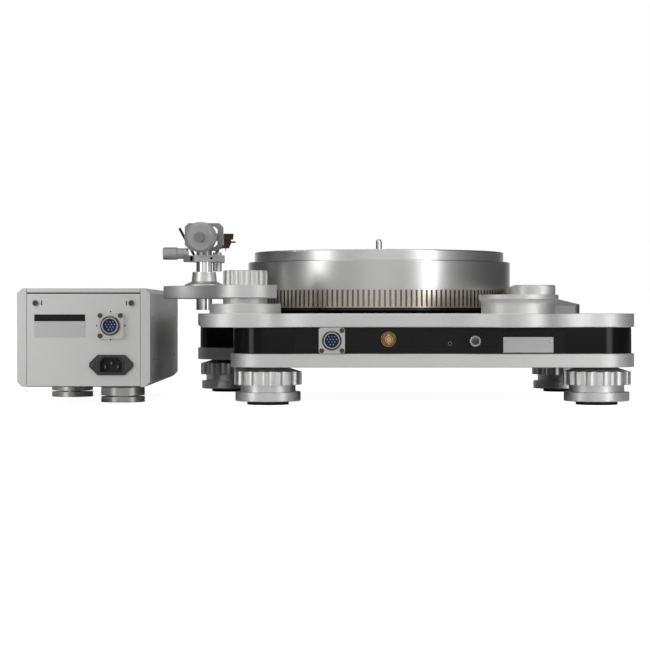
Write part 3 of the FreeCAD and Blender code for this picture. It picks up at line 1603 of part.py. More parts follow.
# Gimbal
def make_yoke():
    """Eight-sided bearing frame on its yaw pin, with the two point screws of the tilt axis."""
    body = new_body("yoke")
    half, depth = size.yoke_width / 2, size.yoke_depth
    low, high = yoke_bottom, yoke_bottom + size.yoke_height
    top_corner, low_corner = size.yoke_top_corner, size.yoke_low_corner
    inner = size.yoke_inner_corner

    def ring(sketch):
        draw_corners(sketch, [
            (-half + low_corner, low), (half - low_corner, low), (half, low + low_corner),
            (half, high - top_corner), (half - top_corner, high), (-half + top_corner, high),
            (-half, high - top_corner), (-half, low + low_corner),
        ])
        side, floor, roof = half - size.yoke_side, low + size.yoke_bar, high - size.yoke_bar
        draw_corners(sketch, [
            (-side + inner, floor), (side - inner, floor), (side, floor + inner),
            (side, roof - inner), (side - inner, roof), (-side + inner, roof),
            (-side, roof - inner), (-side, floor + inner),
        ])
    pad(body, "yoke_ring", "XZ_Plane", -depth / 2, depth, ring)
    pad(body, "yoke_hub", "XY_Plane", hub_low, low - hub_low + size.root_lap,
        lambda sketch: draw_circle(sketch, 0, 0, size.yoke_hub_radius))
    pin_low = clamp_top - size.yaw_pin_depth
    pad(body, "yaw_pin", "XY_Plane", pin_low, hub_low - pin_low + size.root_lap,
        lambda sketch: draw_circle(sketch, 0, 0, size.yaw_pin_radius))
    tip = size.gimbal_outer - size.point_grip
    for side in (-1, 1):
        name = "left" if side < 0 else "right"
        pad(body, f"point_{name}", "YZ_Plane", tip * side, half - tip,
            lambda sketch: draw_circle(sketch, 0, size.pivot_height, size.point_radius), side < 0)
        pad(body, f"point_head_{name}", "YZ_Plane", half * side, size.point_head_proud,
            lambda sketch: draw_circle(sketch, 0, size.pivot_height, size.point_head_radius), side < 0)
    finish(place(body, size.pillar_x, size.pillar_y), "yoke")


def on_arm(thing, label):
    """Seats a piece drawn about the tilt axis, with its length along Y, at the arm's rest angle."""
    place(thing, size.pillar_x, size.pillar_y, size.pivot_height, (1, 0, 0), -size.arm_tilt)
    return finish(thing, label)


def arm_turning(name, corners):
    """A turned piece on the arm's axis: corners are (reach to the rear, radius)."""
    body = new_body(name)
    sketch = new_sketch(body, name + "_profile", "YZ_Plane")
    draw_corners(sketch, corners)
    feature = body.newObject("PartDesign::Revolution", name + "_turning")
    feature.Profile = sketch
    feature.ReferenceAxis = (sketch, ["H_Axis"])
    feature.Angle = 360
    return body


def make_gimbal_ring():
    """Ring on the sleeve that grips the tube, with a hole each side for the point screws."""
    half = size.gimbal_length / 2
    sleeve = size.sleeve_length / 2
    body = arm_turning("gimbal_ring", [
        (-sleeve, size.tube_radius), (sleeve, size.tube_radius), (sleeve, size.gimbal_inner),
        (half, size.gimbal_inner), (half, size.gimbal_outer), (-half, size.gimbal_outer),
        (-half, size.gimbal_inner), (-sleeve, size.gimbal_inner),
    ])
    depth = size.point_grip + size.face_gap
    for side in (-1, 1):
        name = "left" if side < 0 else "right"
        start = size.gimbal_outer - depth
        pocket(body, f"point_hole_{name}", "YZ_Plane", start * side, depth * 2,
               lambda sketch: draw_circle(sketch, 0, 0, size.point_radius + size.running_gap), side > 0)
    on_arm(body, "gimbal_ring")


def make_arm_tube():
    """Tube through the sleeve: it tapers to the front and ends in a stub at the rear."""
    sleeve = size.sleeve_length / 2
    body = arm_turning("arm_tube", [
        (-size.tube_reach, 0), (-size.tube_reach, size.tube_tip_radius), (-sleeve, size.tube_radius),
        (sleeve, size.tube_radius), (sleeve, size.stub_radius),
        (size.stub_reach, size.stub_radius), (size.stub_reach, 0),
    ])
    on_arm(body, "arm_tube")


def make_counterweight():
    rear = size.stub_reach - size.weight_inset
    front = rear - size.weight_length
    bore = size.stub_radius + size.running_gap
    bevel = size.weight_chamfer
    body = arm_turning("counterweight", [
        (front, bore), (front, size.weight_radius - bevel), (front + bevel, size.weight_radius),
        (rear - bevel, size.weight_radius), (rear, size.weight_radius - bevel), (rear, bore),
    ])
    on_arm(body, "counterweight")


def turned_on_shell(thing):
    """Turns a piece drawn along the tube to the headshell's offset angle, ahead of the tube's tip."""
    tip = -(size.tube_reach + size.shell_plug)
    thing.setExpression(
        "Placement",
        f"create(<<placement>>; create(<<vector>>; 0; {tip.formula}; 0); "
        f"create(<<rotation>>; create(<<vector>>; 0; 0; 1); {(-size.shell_angle).formula}))",
    )
    return thing


def make_headshell():
    """Offset shell whose plug is clamped round the tube's tip, with a finger lift at its side."""
    length = size.shell_plug + size.shell_grip
    plug_front = -(size.tube_reach + size.shell_plug)
    plug = cylinder("shell_plug", size.shell_plug_radius, length, 0, plug_front, 0, "y")
    bore = cylinder("shell_bore", size.tube_tip_radius + size.seat_gap, length, 0,
                    -size.tube_reach - size.face_gap, 0, "y")
    clamp = cut("shell_clamp", plug, bore)
    half = size.shell_width / 2
    plate = block("shell_plate", -half, -size.shell_length, as_size(0), size.shell_width,
                  size.shell_length + size.shell_root, size.shell_thickness)
    stem_x = -size.finger_from_middle
    stem_y = size.finger_radius - size.shell_length
    stem = cylinder("finger_stem", size.finger_radius, size.finger_drop + size.shell_thickness / 2,
                    stem_x, stem_y, -size.finger_drop)
    finger = cylinder("finger_lift", size.finger_radius, size.finger_length,
                      stem_x - size.finger_length, stem_y, -size.finger_drop, "x")
    blade = turned_on_shell(group("shell_turned", [fuse("shell_blade", [plate, stem, finger])]))
    on_arm(fuse("headshell_solid", [clamp, blade]), "headshell")


def make_cartridge():
    """Cartridge body under the shell, cut away at its nose above the stylus."""
    front = size.cartridge_setback - size.shell_length
    back = front + size.cartridge_length
    width, height = size.cartridge_width, size.cartridge_height
    body = new_body("cartridge_body")

    def side(sketch):
        draw_corners(sketch, [
            (front, size.cartridge_nose_height - height), (front + size.cartridge_nose_length, -height),
            (back, -height), (back, 0), (front, 0),
        ])
    pad(body, "cartridge_block", "YZ_Plane", -width / 2, width, side)
    pad(body, "cartridge_flange", "XY_Plane", 0, size.cartridge_flange_height,
        lambda sketch: draw_box(sketch, as_size(0), (front + back) / 2, size.cartridge_flange_width,
                                size.cartridge_length), True)
    stylus = cylinder("stylus", size.stylus_radius, size.stylus_height + size.root_lap, 0,
                      front + size.stylus_from_front, -height - size.stylus_height)
    whole = turned_on_shell(group("cartridge_turned", [fuse("cartridge_solid", [body, stylus])]))
    on_arm(group("cartridge_whole", [whole]), "cartridge")


# Power supply
supply_middle = supply_left + size.supply_width / 2
supply_front = size.supply_rear - size.supply_length
supply_top = size.supply_bottom + size.supply_height
bay_width = size.supply_width - 2 * size.side_panel


def make_supply_case():
    """Two thick side panels with bevelled long edges, and the plates held between them."""
    sides = []
    for side in (-1, 1):
        name = "left" if side < 0 else "right"
        body = new_body(f"side_panel_{name}")
        outer = size.supply_width / 2 * side
        inner = outer - size.side_panel * side
        bevel = size.side_chamfer

        def outline(sketch):
            draw_corners(sketch, [
                (inner, size.supply_bottom), (outer - bevel * side, size.supply_bottom),
                (outer, size.supply_bottom + bevel), (outer, supply_top - bevel),
                (outer - bevel * side, supply_top), (inner, supply_top),
            ])
        pad(body, f"side_{name}", "XZ_Plane", 0, size.supply_length, outline)
        sides.append(place(body, supply_middle, size.supply_rear))
    finish(group("psu_side_panels", sides), "psu_side_panels")

    slim = bay_width - 2 * size.supply_seam
    top = block("top_sheet", -slim / 2, as_size(0), supply_top - size.top_panel,
                slim, size.supply_length, size.top_panel)
    finish(place(group("psu_top_place", [top]), supply_middle, supply_front), "psu_top_panel")
    inner_length = size.supply_length - size.front_panel - size.supply_rear_panel - 2 * size.seat_gap
    base = block("base_sheet", -slim / 2, as_size(0), size.supply_bottom,
                 slim, inner_length, size.base_panel)
    finish(place(group("psu_base_place", [base]), supply_middle,
                 supply_front + size.front_panel + size.seat_gap), "psu_base_panel")


panel_bottom = size.supply_bottom + size.rear_panel_lift
panel_height = supply_top - size.top_panel - size.top_groove - panel_bottom


def make_supply_rear_panel():
    slim = bay_width - 2 * size.supply_seam
    body = new_body("psu_rear_panel")
    pad(body, "supply_rear_sheet", "XZ_Plane", 0, size.supply_rear_panel,
        lambda sketch: draw_box(sketch, as_size(0), panel_bottom + panel_height / 2, slim, panel_height))

    def holes(sketch):
        draw_circle(sketch, supply_socket_x - supply_middle, size.supply_socket_z,
                    size.barrel_radius + size.seat_gap)
        draw_box(sketch, inlet_x - supply_middle, size.inlet_z,
                 size.inlet_body_width + 2 * size.seat_gap, size.inlet_body_height + 2 * size.seat_gap)
    pocket(body, "supply_rear_holes", "XZ_Plane", 0, size.supply_rear_panel * 2, holes, True)
    finish(place(body, supply_middle, size.supply_rear), "psu_rear_panel")


def make_supply_front_panel():
    """Thick front plate with the bore that guides the power button."""
    slim = bay_width - 2 * size.supply_seam
    body = new_body("psu_front_panel")
    height = supply_top - size.top_panel - size.top_groove - size.supply_bottom
    pad(body, "supply_front_sheet", "XZ_Plane", 0, size.front_panel,
        lambda sketch: draw_box(sketch, as_size(0), size.supply_bottom + height / 2, slim, height), True)
    bore = size.power_button_radius + size.running_gap * 2
    pocket(body, "button_bore", "XZ_Plane", 0, size.front_panel,
           lambda sketch: draw_circle(sketch, 0, size.power_button_z, bore))
    finish(place(body, supply_middle, supply_front), "psu_front_panel")
    button = cylinder("power_cap", size.power_button_radius, size.power_button_depth, 0,
                      -size.power_button_proud, size.power_button_z, "y")
    finish(place(group("power_button_place", [button]), supply_middle, supply_front), "power_button")


def make_power_inlet():
    """Appliance inlet: a flange with two screw ears and a deep mouth with three blades."""
    body = new_body("inlet_shell")
    half, tall, ear = size.inlet_width / 2, size.inlet_height / 2, size.inlet_ear

    def flange(sketch):
        draw_corners(sketch, [
            (-half, -tall + ear), (-half + ear, -tall), (half - ear, -tall), (half, -tall + ear),
            (half, tall - ear), (half - ear, tall), (-half + ear, tall), (-half, tall - ear),
        ])
    pad(body, "inlet_flange", "XY_Plane", 0, size.inlet_flange, flange)
    pad(body, "inlet_box", "XY_Plane", 0, size.inlet_depth,
        lambda sketch: draw_box(sketch, as_size(0), as_size(0), size.inlet_body_width,
                                size.inlet_body_height), True)
    wide, high = size.inlet_mouth_width / 2, size.inlet_mouth_height / 2
    corner = size.inlet_mouth_corner

    def mouth(sketch):
        draw_corners(sketch, [(-wide, -high), (wide, -high), (wide, high - corner),
                              (wide - corner, high), (-wide + corner, high), (-wide, high - corner)])
    depth = size.inlet_flange + size.inlet_depth - size.inlet_wall
    pocket(body, "inlet_mouth", "XY_Plane", size.inlet_flange, depth, mouth)

    def blades(sketch):
        for step in (-1, 0, 1):
            rise = -size.blade_rise if step else size.blade_rise
            draw_box(sketch, size.blade_spread * step, rise, size.blade_thickness, size.blade_width)
    floor = size.inlet_wall - size.inlet_depth
    pad(body, "inlet_blades", "XY_Plane", floor, size.blade_length, blades)
    finish(place(body, inlet_x, size.supply_rear, size.inlet_z, *REARWARD), "power_inlet")


def make_transformer():
    body = new_body("psu_transformer")
    low = size.supply_bottom + size.base_panel
    high = low + size.transformer_height
    turn(body, "transformer_turning", [
        (size.transformer_bore, low), (size.transformer_radius, low),
        (size.transformer_radius, high), (size.transformer_bore, high),
    ])
    round_edges(body, "transformer_rounding", size.transformer_bore,
                rim_at(size.transformer_radius, high))
    finish(place(body, supply_middle, size.transformer_y), "psu_transformer")


def make_supply_feet():
    """Three two-disc feet: the case's disc above, the floor disc below, a narrow neck between."""
    feet = []
    low = size.supply_foot_disc
    high = low + size.supply_foot_gap
    spots = ((size.supply_foot_a_x, size.supply_foot_a_y), (size.supply_foot_b_x, size.supply_foot_b_y),
             (size.supply_foot_c_x, size.supply_foot_c_y))
    for number, (x, y) in enumerate(spots, start=1):
        body = new_body(f"supply_foot_{number}")
        radius, neck, boss = size.supply_foot_radius, size.supply_foot_neck, size.supply_foot_boss
        top, bevel = size.supply_foot_height, size.supply_foot_bevel
        turn(body, f"supply_foot_{number}_turning", [
            (0, 0), (radius, 0), (radius, low), (neck, low), (neck, high),
            (radius, high + size.supply_foot_rise), (radius, top - bevel), (radius - bevel, top),
            (boss, top), (boss, size.supply_bottom), (0, size.supply_bottom),
        ])
        feet.append(place(body, x, y))
    finish(group("psu_feet", feet), "psu_feet")


STEPS = [
    make_lower_plate, make_middle_frame, make_upper_plate, make_rear_panel, make_dc_sockets,
    make_cap_screws, make_clock_socket, make_ground_terminal, make_feet, make_collars, make_bearing,
    make_hub, make_base_disc, make_magnet_ring, make_platter_drum, make_platter_top, make_spindle,
    make_drive_tower, make_drive_head, make_drive_motor, make_drive_wheel, make_control_unit,
    make_arm_tower, make_armboard, make_lock_knob, make_arm_base, make_pillar, make_clamp_plate,
    make_lifter, make_cue_lever, make_antiskate_knob, make_yoke, make_gimbal_ring, make_arm_tube,
    make_counterweight, make_headshell, make_cartridge, make_supply_case, make_supply_rear_panel,
    make_supply_front_panel, make_power_inlet, make_transformer, make_supply_feet,
]
for step in STEPS:
    step()
make_magnet_disc("lift_magnet_lower", flange_top)
make_magnet_disc("lift_magnet_upper", upper_magnet)
doc.recompute()

# Nothing is written unless every object and every sub-part is sound
for thing in doc.Objects:
    if "Invalid" in thing.State or "Error" in thing.State:
        raise RuntimeError(f"{thing.Label}: {thing.State}")
for label, thing in finished.items():
    if thing.Shape.isNull() or not thing.Shape.isValid():
        raise RuntimeError(f"{label}: bad shape")
for label, thing in finished.items():
    thing.Shape.exportStep(f"parts/{label}.step")
    box = thing.Shape.BoundBox
    print(f"{label}: {len(thing.Shape.Solids)} solids, "
          f"x {box.XMin:.1f} {box.XMax:.1f} y {box.YMin:.1f} {box.YMax:.1f} z {box.ZMin:.1f} {box.ZMax:.1f}")
whole = FreeCAD.BoundBox()
for thing in finished.values():
    whole.add(thing.Shape.BoundBox)
print(f"{len(finished)} sub-parts, box {whole}")
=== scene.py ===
# %% [markdown]
# Looks of a heavy record player seen from behind, with its separate power supply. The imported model
# is loaded first and never changed: it only gets its finishes here, and small trim that is too fine
# to be worth a part of its own. Everything is in metres in the model's frame.

# %% Load the frame
import math

import bmesh
import bpy
from mathutils import Matrix, Vector


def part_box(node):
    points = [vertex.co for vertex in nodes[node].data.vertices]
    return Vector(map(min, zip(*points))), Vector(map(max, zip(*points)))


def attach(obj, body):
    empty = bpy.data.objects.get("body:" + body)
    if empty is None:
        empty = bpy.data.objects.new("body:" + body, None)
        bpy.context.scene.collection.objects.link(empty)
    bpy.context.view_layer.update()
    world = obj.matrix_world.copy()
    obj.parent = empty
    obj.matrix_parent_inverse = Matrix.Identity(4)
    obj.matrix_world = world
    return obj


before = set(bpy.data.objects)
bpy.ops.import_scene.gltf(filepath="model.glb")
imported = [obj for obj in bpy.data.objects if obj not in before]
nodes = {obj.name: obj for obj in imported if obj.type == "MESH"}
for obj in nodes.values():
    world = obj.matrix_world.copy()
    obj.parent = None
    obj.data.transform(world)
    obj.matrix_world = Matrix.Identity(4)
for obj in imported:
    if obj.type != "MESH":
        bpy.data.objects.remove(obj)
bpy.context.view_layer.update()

# %% [markdown]
# On the real object everything is measured from the platter's axis, so the places here are given
# from it in millimetres too. One helper turns them into the frame's metres.

# %% Places
PLATTER_X = -58.85
PLATTER_Y = -11.4
PANEL_FACE = 218.3
SUPPLY_REAR = 222.0
SUPPLY_LEFT = 256.5


def spot(x, y, z):
    """A point given from the platter's axis in millimetres, in the frame's metres."""
    return Vector((x + PLATTER_X, y + PLATTER_Y, z)) / 1000


AXES = {
    "platter": spot(0, 0, 0),
    "drive tower": spot(-149.4, 204, 0),
    "arm tower": spot(152.6, 208, 0),
    "pillar": spot(204.5, 104, 0),
}
print("turned about", ", ".join(AXES))

# %% [markdown]
# The camera stands behind the object, ten centimetres above the floor, and looks level at it, so
# all upright edges stay upright. A small shift of the lens gives the framing without tilting it.

# %% Camera
IMAGE = 650
FOCAL_PIXELS = 1974.0
AXIS_PIXEL = (331.0, 313.0)
SENSOR = 36.0
CAMERA_FROM_AXIS = (57.9, 2387.0, 102.0)

camera_data = bpy.data.cameras.new("camera")
camera_data.sensor_width = SENSOR
camera_data.lens = FOCAL_PIXELS / IMAGE * SENSOR
camera_data.shift_x = (IMAGE / 2 - AXIS_PIXEL[0]) / IMAGE
camera_data.shift_y = (AXIS_PIXEL[1] - IMAGE / 2) / IMAGE
camera_data.clip_end = 50
camera = bpy.data.objects.new("camera", camera_data)
camera.location = spot(*CAMERA_FROM_AXIS)
camera.rotation_euler = (math.radians(90), 0, math.radians(180))
bpy.context.scene.collection.objects.link(camera)
bpy.context.scene.camera = camera
bpy.context.scene.view_settings.view_transform = "Standard"
print("lens", round(camera_data.lens, 2), "shift", camera_data.shift_x, camera_data.shift_y)

# %% [markdown]
# A finish is a small network of shader nodes. These helpers add a node, feed it, and hand back its
# output, so that each finish below reads as a short list.


# %% Node helpers
def add(tree, kind, settings=None, inputs=None):
    """Adds a node; each input is a number, a tuple or another node's output."""
    made = tree.nodes.new(kind)
    for key, value in (settings or {}).items():
        setattr(made, key, value)
    for key, value in (inputs or {}).items():
        if isinstance(value, bpy.types.NodeSocket):
            tree.links.new(value, made.inputs[key])
        else:
            made.inputs[key].default_value = value
    return made


def sums(tree, operation, first, second):
    return add(tree, "ShaderNodeMath", {"operation": operation}, {0: first, 1: second}).outputs[0]


def span(tree, value, low, high, to_low, to_high):
    """Maps value from low..high to to_low..to_high, held at the ends."""
    inputs = {"Value": value, "From Min": low, "From Max": high, "To Min": to_low, "To Max": to_high}
    return add(tree, "ShaderNodeMapRange", {"clamp": True}, inputs).outputs["Result"]


def blend_colour(tree, factor, first, second):
    inputs = {0: factor, 6: first, 7: second}
    return add(tree, "ShaderNodeMix", {"data_type": "RGBA"}, inputs).outputs[2]


print("node helpers ready")

# %% [markdown]
# An effect that several finishes share is built once as a shader node group with named inputs and
# outputs. Groups hold no shader: they give masks, values and bumped normals only.

# %% Group helpers
FLOAT = "NodeSocketFloat"
VECTOR = "NodeSocketVector"
GROUPS = {}


def new_group(name, inputs, outputs):
    tree = bpy.data.node_groups.new(name, "ShaderNodeTree")
    for title, kind, default in inputs:
        socket = tree.interface.new_socket(title, in_out="INPUT", socket_type=kind)
        if default is not None:
            socket.default_value = default
    for title, kind in outputs:
        tree.interface.new_socket(title, in_out="OUTPUT", socket_type=kind)
    return tree, tree.nodes.new("NodeGroupInput").outputs, tree.nodes.new("NodeGroupOutput").inputs


def vector_math(tree, operation, first, second=None):
    inputs = {0: first} if second is None else {0: first, 1: second}
    return add(tree, "ShaderNodeVectorMath", {"operation": operation}, inputs)


def marks_of(tree, place, result, scale, detail, rough, strength, depth):
    """Noise at place, and the bump that goes with it."""
    noise = add(tree, "ShaderNodeTexNoise", None,
                {"Vector": place, "Scale": scale, "Detail": detail, "Roughness": rough})
    bump = add(tree, "ShaderNodeBump", None,
               {"Height": noise.outputs[0], "Strength": strength, "Distance": depth})
    tree.links.new(noise.outputs[0], result["Value"])
    tree.links.new(bump.outputs[0], result["Normal"])


print("group helpers ready")


# %% [markdown]
# Small machined pieces are blasted with fine beads before they are anodised. That could be a tiny
# voronoi pattern, but an even, very fine noise with a shallow bump looks the same and stays calm.


# %% Blasted grain
def make_grain_group():
    tree, given, result = new_group(
        "blasted_grain",
        [("Scale", FLOAT, 2600.0), ("Depth", FLOAT, 0.4)],
        [("Value", FLOAT), ("Normal", VECTOR)],
    )
    place = add(tree, "ShaderNodeTexCoord").outputs["Object"]
    marks_of(tree, place, result, given["Scale"], 3.0, 0.6, given["Depth"], 0.00004)
    return tree


GROUPS["grain"] = make_grain_group()
print("made", GROUPS["grain"].name)


# %% [markdown]
# The plates and the supply's panels are brushed, with level lines on their rims. The same noise is
# stretched for that: Stretch is small along the lines and large across them.


# %% Brushed lines
def make_brush_group():
    tree, given, result = new_group(
        "brushed_lines",
        [("Stretch", VECTOR, (60.0, 1.0, 2200.0)), ("Depth", FLOAT, 0.3)],
        [("Value", FLOAT), ("Normal", VECTOR)],
    )
    place = add(tree, "ShaderNodeTexCoord").outputs["Object"]
    drawn = vector_math(tree, "MULTIPLY", place, given["Stretch"]).outputs[0]
    marks_of(tree, drawn, result, 1.0, 4.0, 0.65, given["Depth"], 0.00003)
    return tree


GROUPS["brush"] = make_brush_group()
print("made", GROUPS["brush"].name)


# %% [markdown]
# A lathe leaves rings. Seen about the piece's own axis they follow the radius on level faces and the
# height on walls, so the noise is read at radius and height, and hardly changes around the axis.


# %% Turned rings
def make_turning_group():
    tree, given, result = new_group(
        "turned_rings",
        [("Centre", VECTOR, (0.0, 0.0, 0.0)), ("Pitch", FLOAT, 2600.0), ("Depth", FLOAT, 0.3)],
        [("Value", FLOAT), ("Normal", VECTOR)],
    )
    place = add(tree, "ShaderNodeTexCoord").outputs["Object"]
    offset = vector_math(tree, "SUBTRACT", place, given["Centre"]).outputs[0]
    flat = vector_math(tree, "MULTIPLY", offset, (1.0, 1.0, 0.0)).outputs[0]
    radius = vector_math(tree, "LENGTH", flat).outputs["Value"]
    height = add(tree, "ShaderNodeSeparateXYZ", None, {0: offset}).outputs[2]
    around = vector_math(tree, "NORMALIZE", flat).outputs[0]
    parts = add(tree, "ShaderNodeSeparateXYZ", None, {0: around})
    line = add(tree, "ShaderNodeCombineXYZ", None, {
        "X": sums(tree, "MULTIPLY", radius, given["Pitch"]),
        "Y": sums(tree, "MULTIPLY", height, given["Pitch"]),
        "Z": sums(tree, "ADD", parts.outputs[0], parts.outputs[1]),
    }).outputs[0]
    marks_of(tree, line, result, 1.0, 3.0, 0.6, given["Depth"], 0.00003)
    return tree


GROUPS["turning"] = make_turning_group()
print("made", GROUPS["turning"].name)


# %% [markdown]
# Handled metal is never quite even. A broad, faint cloudiness changes its tone and gloss. Sharp
# edges get a painted highlight: the Bevel node finds them by comparing its softened normal with
# the true one.


# %% Smudges and edges
def make_smudge_group():
    tree, given, result = new_group("smudges", [("Scale", FLOAT, 22.0)], [("Value", FLOAT)])
    place = add(tree, "ShaderNodeTexCoord").outputs["Object"]
    noise = add(tree, "ShaderNodeTexNoise", None,
                {"Vector": place, "Scale": given["Scale"], "Detail": 5.0, "Roughness": 0.55})
    tree.links.new(span(tree, noise.outputs[0], 0.3, 0.7, 0.25, 0.75), result["Value"])
    return tree


# The mask picks out sharp edges, whose colour gets a painted highlight.
def make_edge_highlight_group():
    tree, given, result = new_group("painted_edge_highlight", [("Radius", FLOAT, 0.0006)], [("Mask", FLOAT)])
    soft = add(tree, "ShaderNodeBevel", {"samples": 4}, {"Radius": given["Radius"]}).outputs[0]
    true_normal = add(tree, "ShaderNodeNewGeometry").outputs["Normal"]
    facing = vector_math(tree, "DOT_PRODUCT", soft, true_normal).outputs["Value"]
    tree.links.new(span(tree, facing, 0.97, 0.8, 0.0, 1.0), result["Mask"])
    return tree


GROUPS["smudge"] = make_smudge_group()
GROUPS["edge"] = make_edge_highlight_group()
print("made", GROUPS["smudge"].name, GROUPS["edge"].name)


# %% [markdown]
# The ring's lower lip gets painted shade while its ribs stay bright. A mask by height over the floor
# gives that change of colour without cutting the piece in two.


# %% Height band
def make_band_group():
    tree, given, result = new_group(
        "height_band", [("Height", FLOAT, 0.1), ("Blur", FLOAT, 0.0004)], [("Mask", FLOAT)])
    place = add(tree, "ShaderNodeTexCoord").outputs["Object"]
    height = add(tree, "ShaderNodeSeparateXYZ", None, {0: place}).outputs[2]
    low = sums(tree, "SUBTRACT", given["Height"], given["Blur"])
    high = sums(tree, "ADD", given["Height"], given["Blur"])
    tree.links.new(span(tree, height, low, high, 1.0, 0.0), result["Mask"])
    return tree


GROUPS["band"] = make_band_group()
print("made", GROUPS["band"].name)


# %% [markdown]
# The same can be done by distance from an upright axis: the mask is one inside the radius and
# nothing outside it, with a short blur between.


# %% Radius band
def make_radius_group():
    tree, given, result = new_group(
        "radius_band",
        [("Centre", VECTOR, (0.0, 0.0, 0.0)), ("Radius", FLOAT, 0.1), ("Blur", FLOAT, 0.0006)],
        [("Mask", FLOAT)],
    )
    place = add(tree, "ShaderNodeTexCoord").outputs["Object"]
    offset = vector_math(tree, "SUBTRACT", place, given["Centre"]).outputs[0]
    flat = vector_math(tree, "MULTIPLY", offset, (1.0, 1.0, 0.0)).outputs[0]
    radius = vector_math(tree, "LENGTH", flat).outputs["Value"]
    low = sums(tree, "SUBTRACT", given["Radius"], given["Blur"])
    high = sums(tree, "ADD", given["Radius"], given["Blur"])
    tree.links.new(span(tree, radius, low, high, 1.0, 0.0), result["Mask"])
    return tree


GROUPS["radius"] = make_radius_group()
print("made", GROUPS["radius"].name)


# %% [markdown]
# A metal starts from one base tone. Its marks come from one of the groups, its gloss varies with the
# marks and the smudges, and its edges get a painted highlight.

# %% Metal recipe
MATERIALS = {}


def effect(tree, name, **inputs):
    made = tree.nodes.new("ShaderNodeGroup")
    made.node_tree = GROUPS[name]
    for key, value in inputs.items():
        made.inputs[key].default_value = value
    return made


def new_material(name):
    material = bpy.data.materials.new(name)
    material.use_nodes = True
    tree = material.node_tree
    return material, tree, tree.nodes["Principled BSDF"]


def tone(colour, factor):
    return tuple(min(channel * factor, 1.0) for channel in colour) + (1.0,)


def metal(name, colour, gloss, marks="grain", contrast=0.06, edge=1.12, **settings):
    """gloss is the roughness range that the marks run through."""
    material, tree, shader = new_material(name)
    pattern = effect(tree, marks, **settings)
    smudge = effect(tree, "smudge")
    mixed = sums(tree, "ADD", sums(tree, "MULTIPLY", pattern.outputs["Value"], 0.6),
                 sums(tree, "MULTIPLY", smudge.outputs["Value"], 0.4))
    face = blend_colour(tree, mixed, tone(colour, 1 - contrast), tone(colour, 1 + contrast))
    # Painted highlight: the colour of sharp edges is lifted towards a brighter tone.
    edge_highlight = effect(tree, "edge")
    final = blend_colour(tree, edge_highlight.outputs["Mask"], face, tone(colour, edge))
    tree.links.new(final, shader.inputs["Base Color"])
    tree.links.new(span(tree, mixed, 0.25, 0.75, *gloss), shader.inputs["Roughness"])
    tree.links.new(pattern.outputs["Normal"], shader.inputs["Normal"])
    shader.inputs["Metallic"].default_value = 1.0
    return material


print("metal recipe ready")


# %% [markdown]
# Anodised black, plastic and rubber use the same recipe, but aren't metallic: only their thin shine
# and their painted edge highlight show, so that highlight is lifted more.


# %% Lacquer recipe
def lacquer(name, colour, gloss, marks="grain", contrast=0.15, edge=1.6, shine=0.5, **settings):
    material = metal(name, colour, gloss, marks, contrast, edge, **settings)
    shader = material.node_tree.nodes["Principled BSDF"]
    shader.inputs["Metallic"].default_value = 0.0
    shader.inputs["Specular IOR Level"].default_value = shine
    return material


print("lacquer recipe ready")

# %% [markdown]
# Silver finishes: brushed plates, the blasted drive head, the softer case of the supply, the bare
# nameplates, polished steel and nickel. Light falls off gently across broad faces because brushing
# and blasting make them quite rough.

# %% Silver finishes
SILVER = (0.80, 0.80, 0.795)
MATERIALS["plate"] = metal("brushed_silver", SILVER, (0.48, 0.58), "brush", 0.08,
                           Stretch=(25.0, 250.0, 1500.0), Depth=0.25)
MATERIALS["blasted"] = metal("blasted_silver", SILVER, (0.50, 0.60), "grain", 0.04,
                             Scale=3000.0, Depth=0.25)
MATERIALS["case"] = metal("brushed_case", (0.69, 0.69, 0.685), (0.50, 0.60), "brush", 0.03,
                          Stretch=(60.0, 60.0, 1600.0), Depth=0.12)
MATERIALS["label"] = metal("brushed_label", (0.60, 0.60, 0.60), (0.36, 0.46), "brush", 0.05, 1.25,
                           Stretch=(60.0, 60.0, 2200.0), Depth=0.15)
MATERIALS["polished"] = metal("polished_steel", (0.78, 0.78, 0.79), (0.05, 0.12), "grain", 0.02, 1.0,
                              Scale=900.0, Depth=0.03)
MATERIALS["nickel"] = metal("nickel_plate", (0.66, 0.655, 0.645), (0.26, 0.38), "brush", 0.06, 1.2,
                            Stretch=(900.0, 900.0, 60.0), Depth=0.2)
print("finishes", len(MATERIALS))

# %% [markdown]
# Black finishes. The frame between the plates drinks nearly all light but is smooth, so it draws
# narrow bands. The rear panel is brushed and a little paler, the matt black is nearly without shine
# and also stands as painted shade in the slit under the driven ring, and the inlet's moulding is a
# paler, matt black.

# %% Black finishes
MATERIALS["black"] = lacquer("black_anodised", (0.0015, 0.0015, 0.0017), (0.13, 0.20), shine=0.28,
                             Scale=2600.0, Depth=0.2)
# Matt black for the base disc and dark screws; on the rim in the slit under the ring it is painted
# shade.
MATERIALS["matt_black"] = lacquer("matt_black_and_shade", (0.0025, 0.0025, 0.0025), (0.5, 0.6), shine=0.06,
                            Scale=2600.0, Depth=0.3)
MATERIALS["black_panel"] = lacquer("black_panel", (0.009, 0.009, 0.0095), (0.24, 0.34), "brush", 0.1,
                                   shine=0.22, Stretch=(30.0, 30.0, 900.0), Depth=0.1)
MATERIALS["fastener"] = metal("blackened_steel", (0.10, 0.097, 0.093), (0.28, 0.42), "grain", 0.2, 1.8,
                              Scale=3400.0, Depth=0.3)
MATERIALS["plastic"] = lacquer("black_moulding", (0.040, 0.040, 0.041), (0.42, 0.55), Scale=1500.0,
                               Depth=0.6)
MATERIALS["rubber"] = lacquer("black_rubber", (0.018, 0.018, 0.018), (0.6, 0.8), Scale=900.0,
                              Depth=0.8)
MATERIALS["glass"] = lacquer("display_window", (0.006, 0.007, 0.009), (0.05, 0.09), "grain", 0.1, 1.1,
                             Scale=400.0, Depth=0.02)
print("finishes", len(MATERIALS))
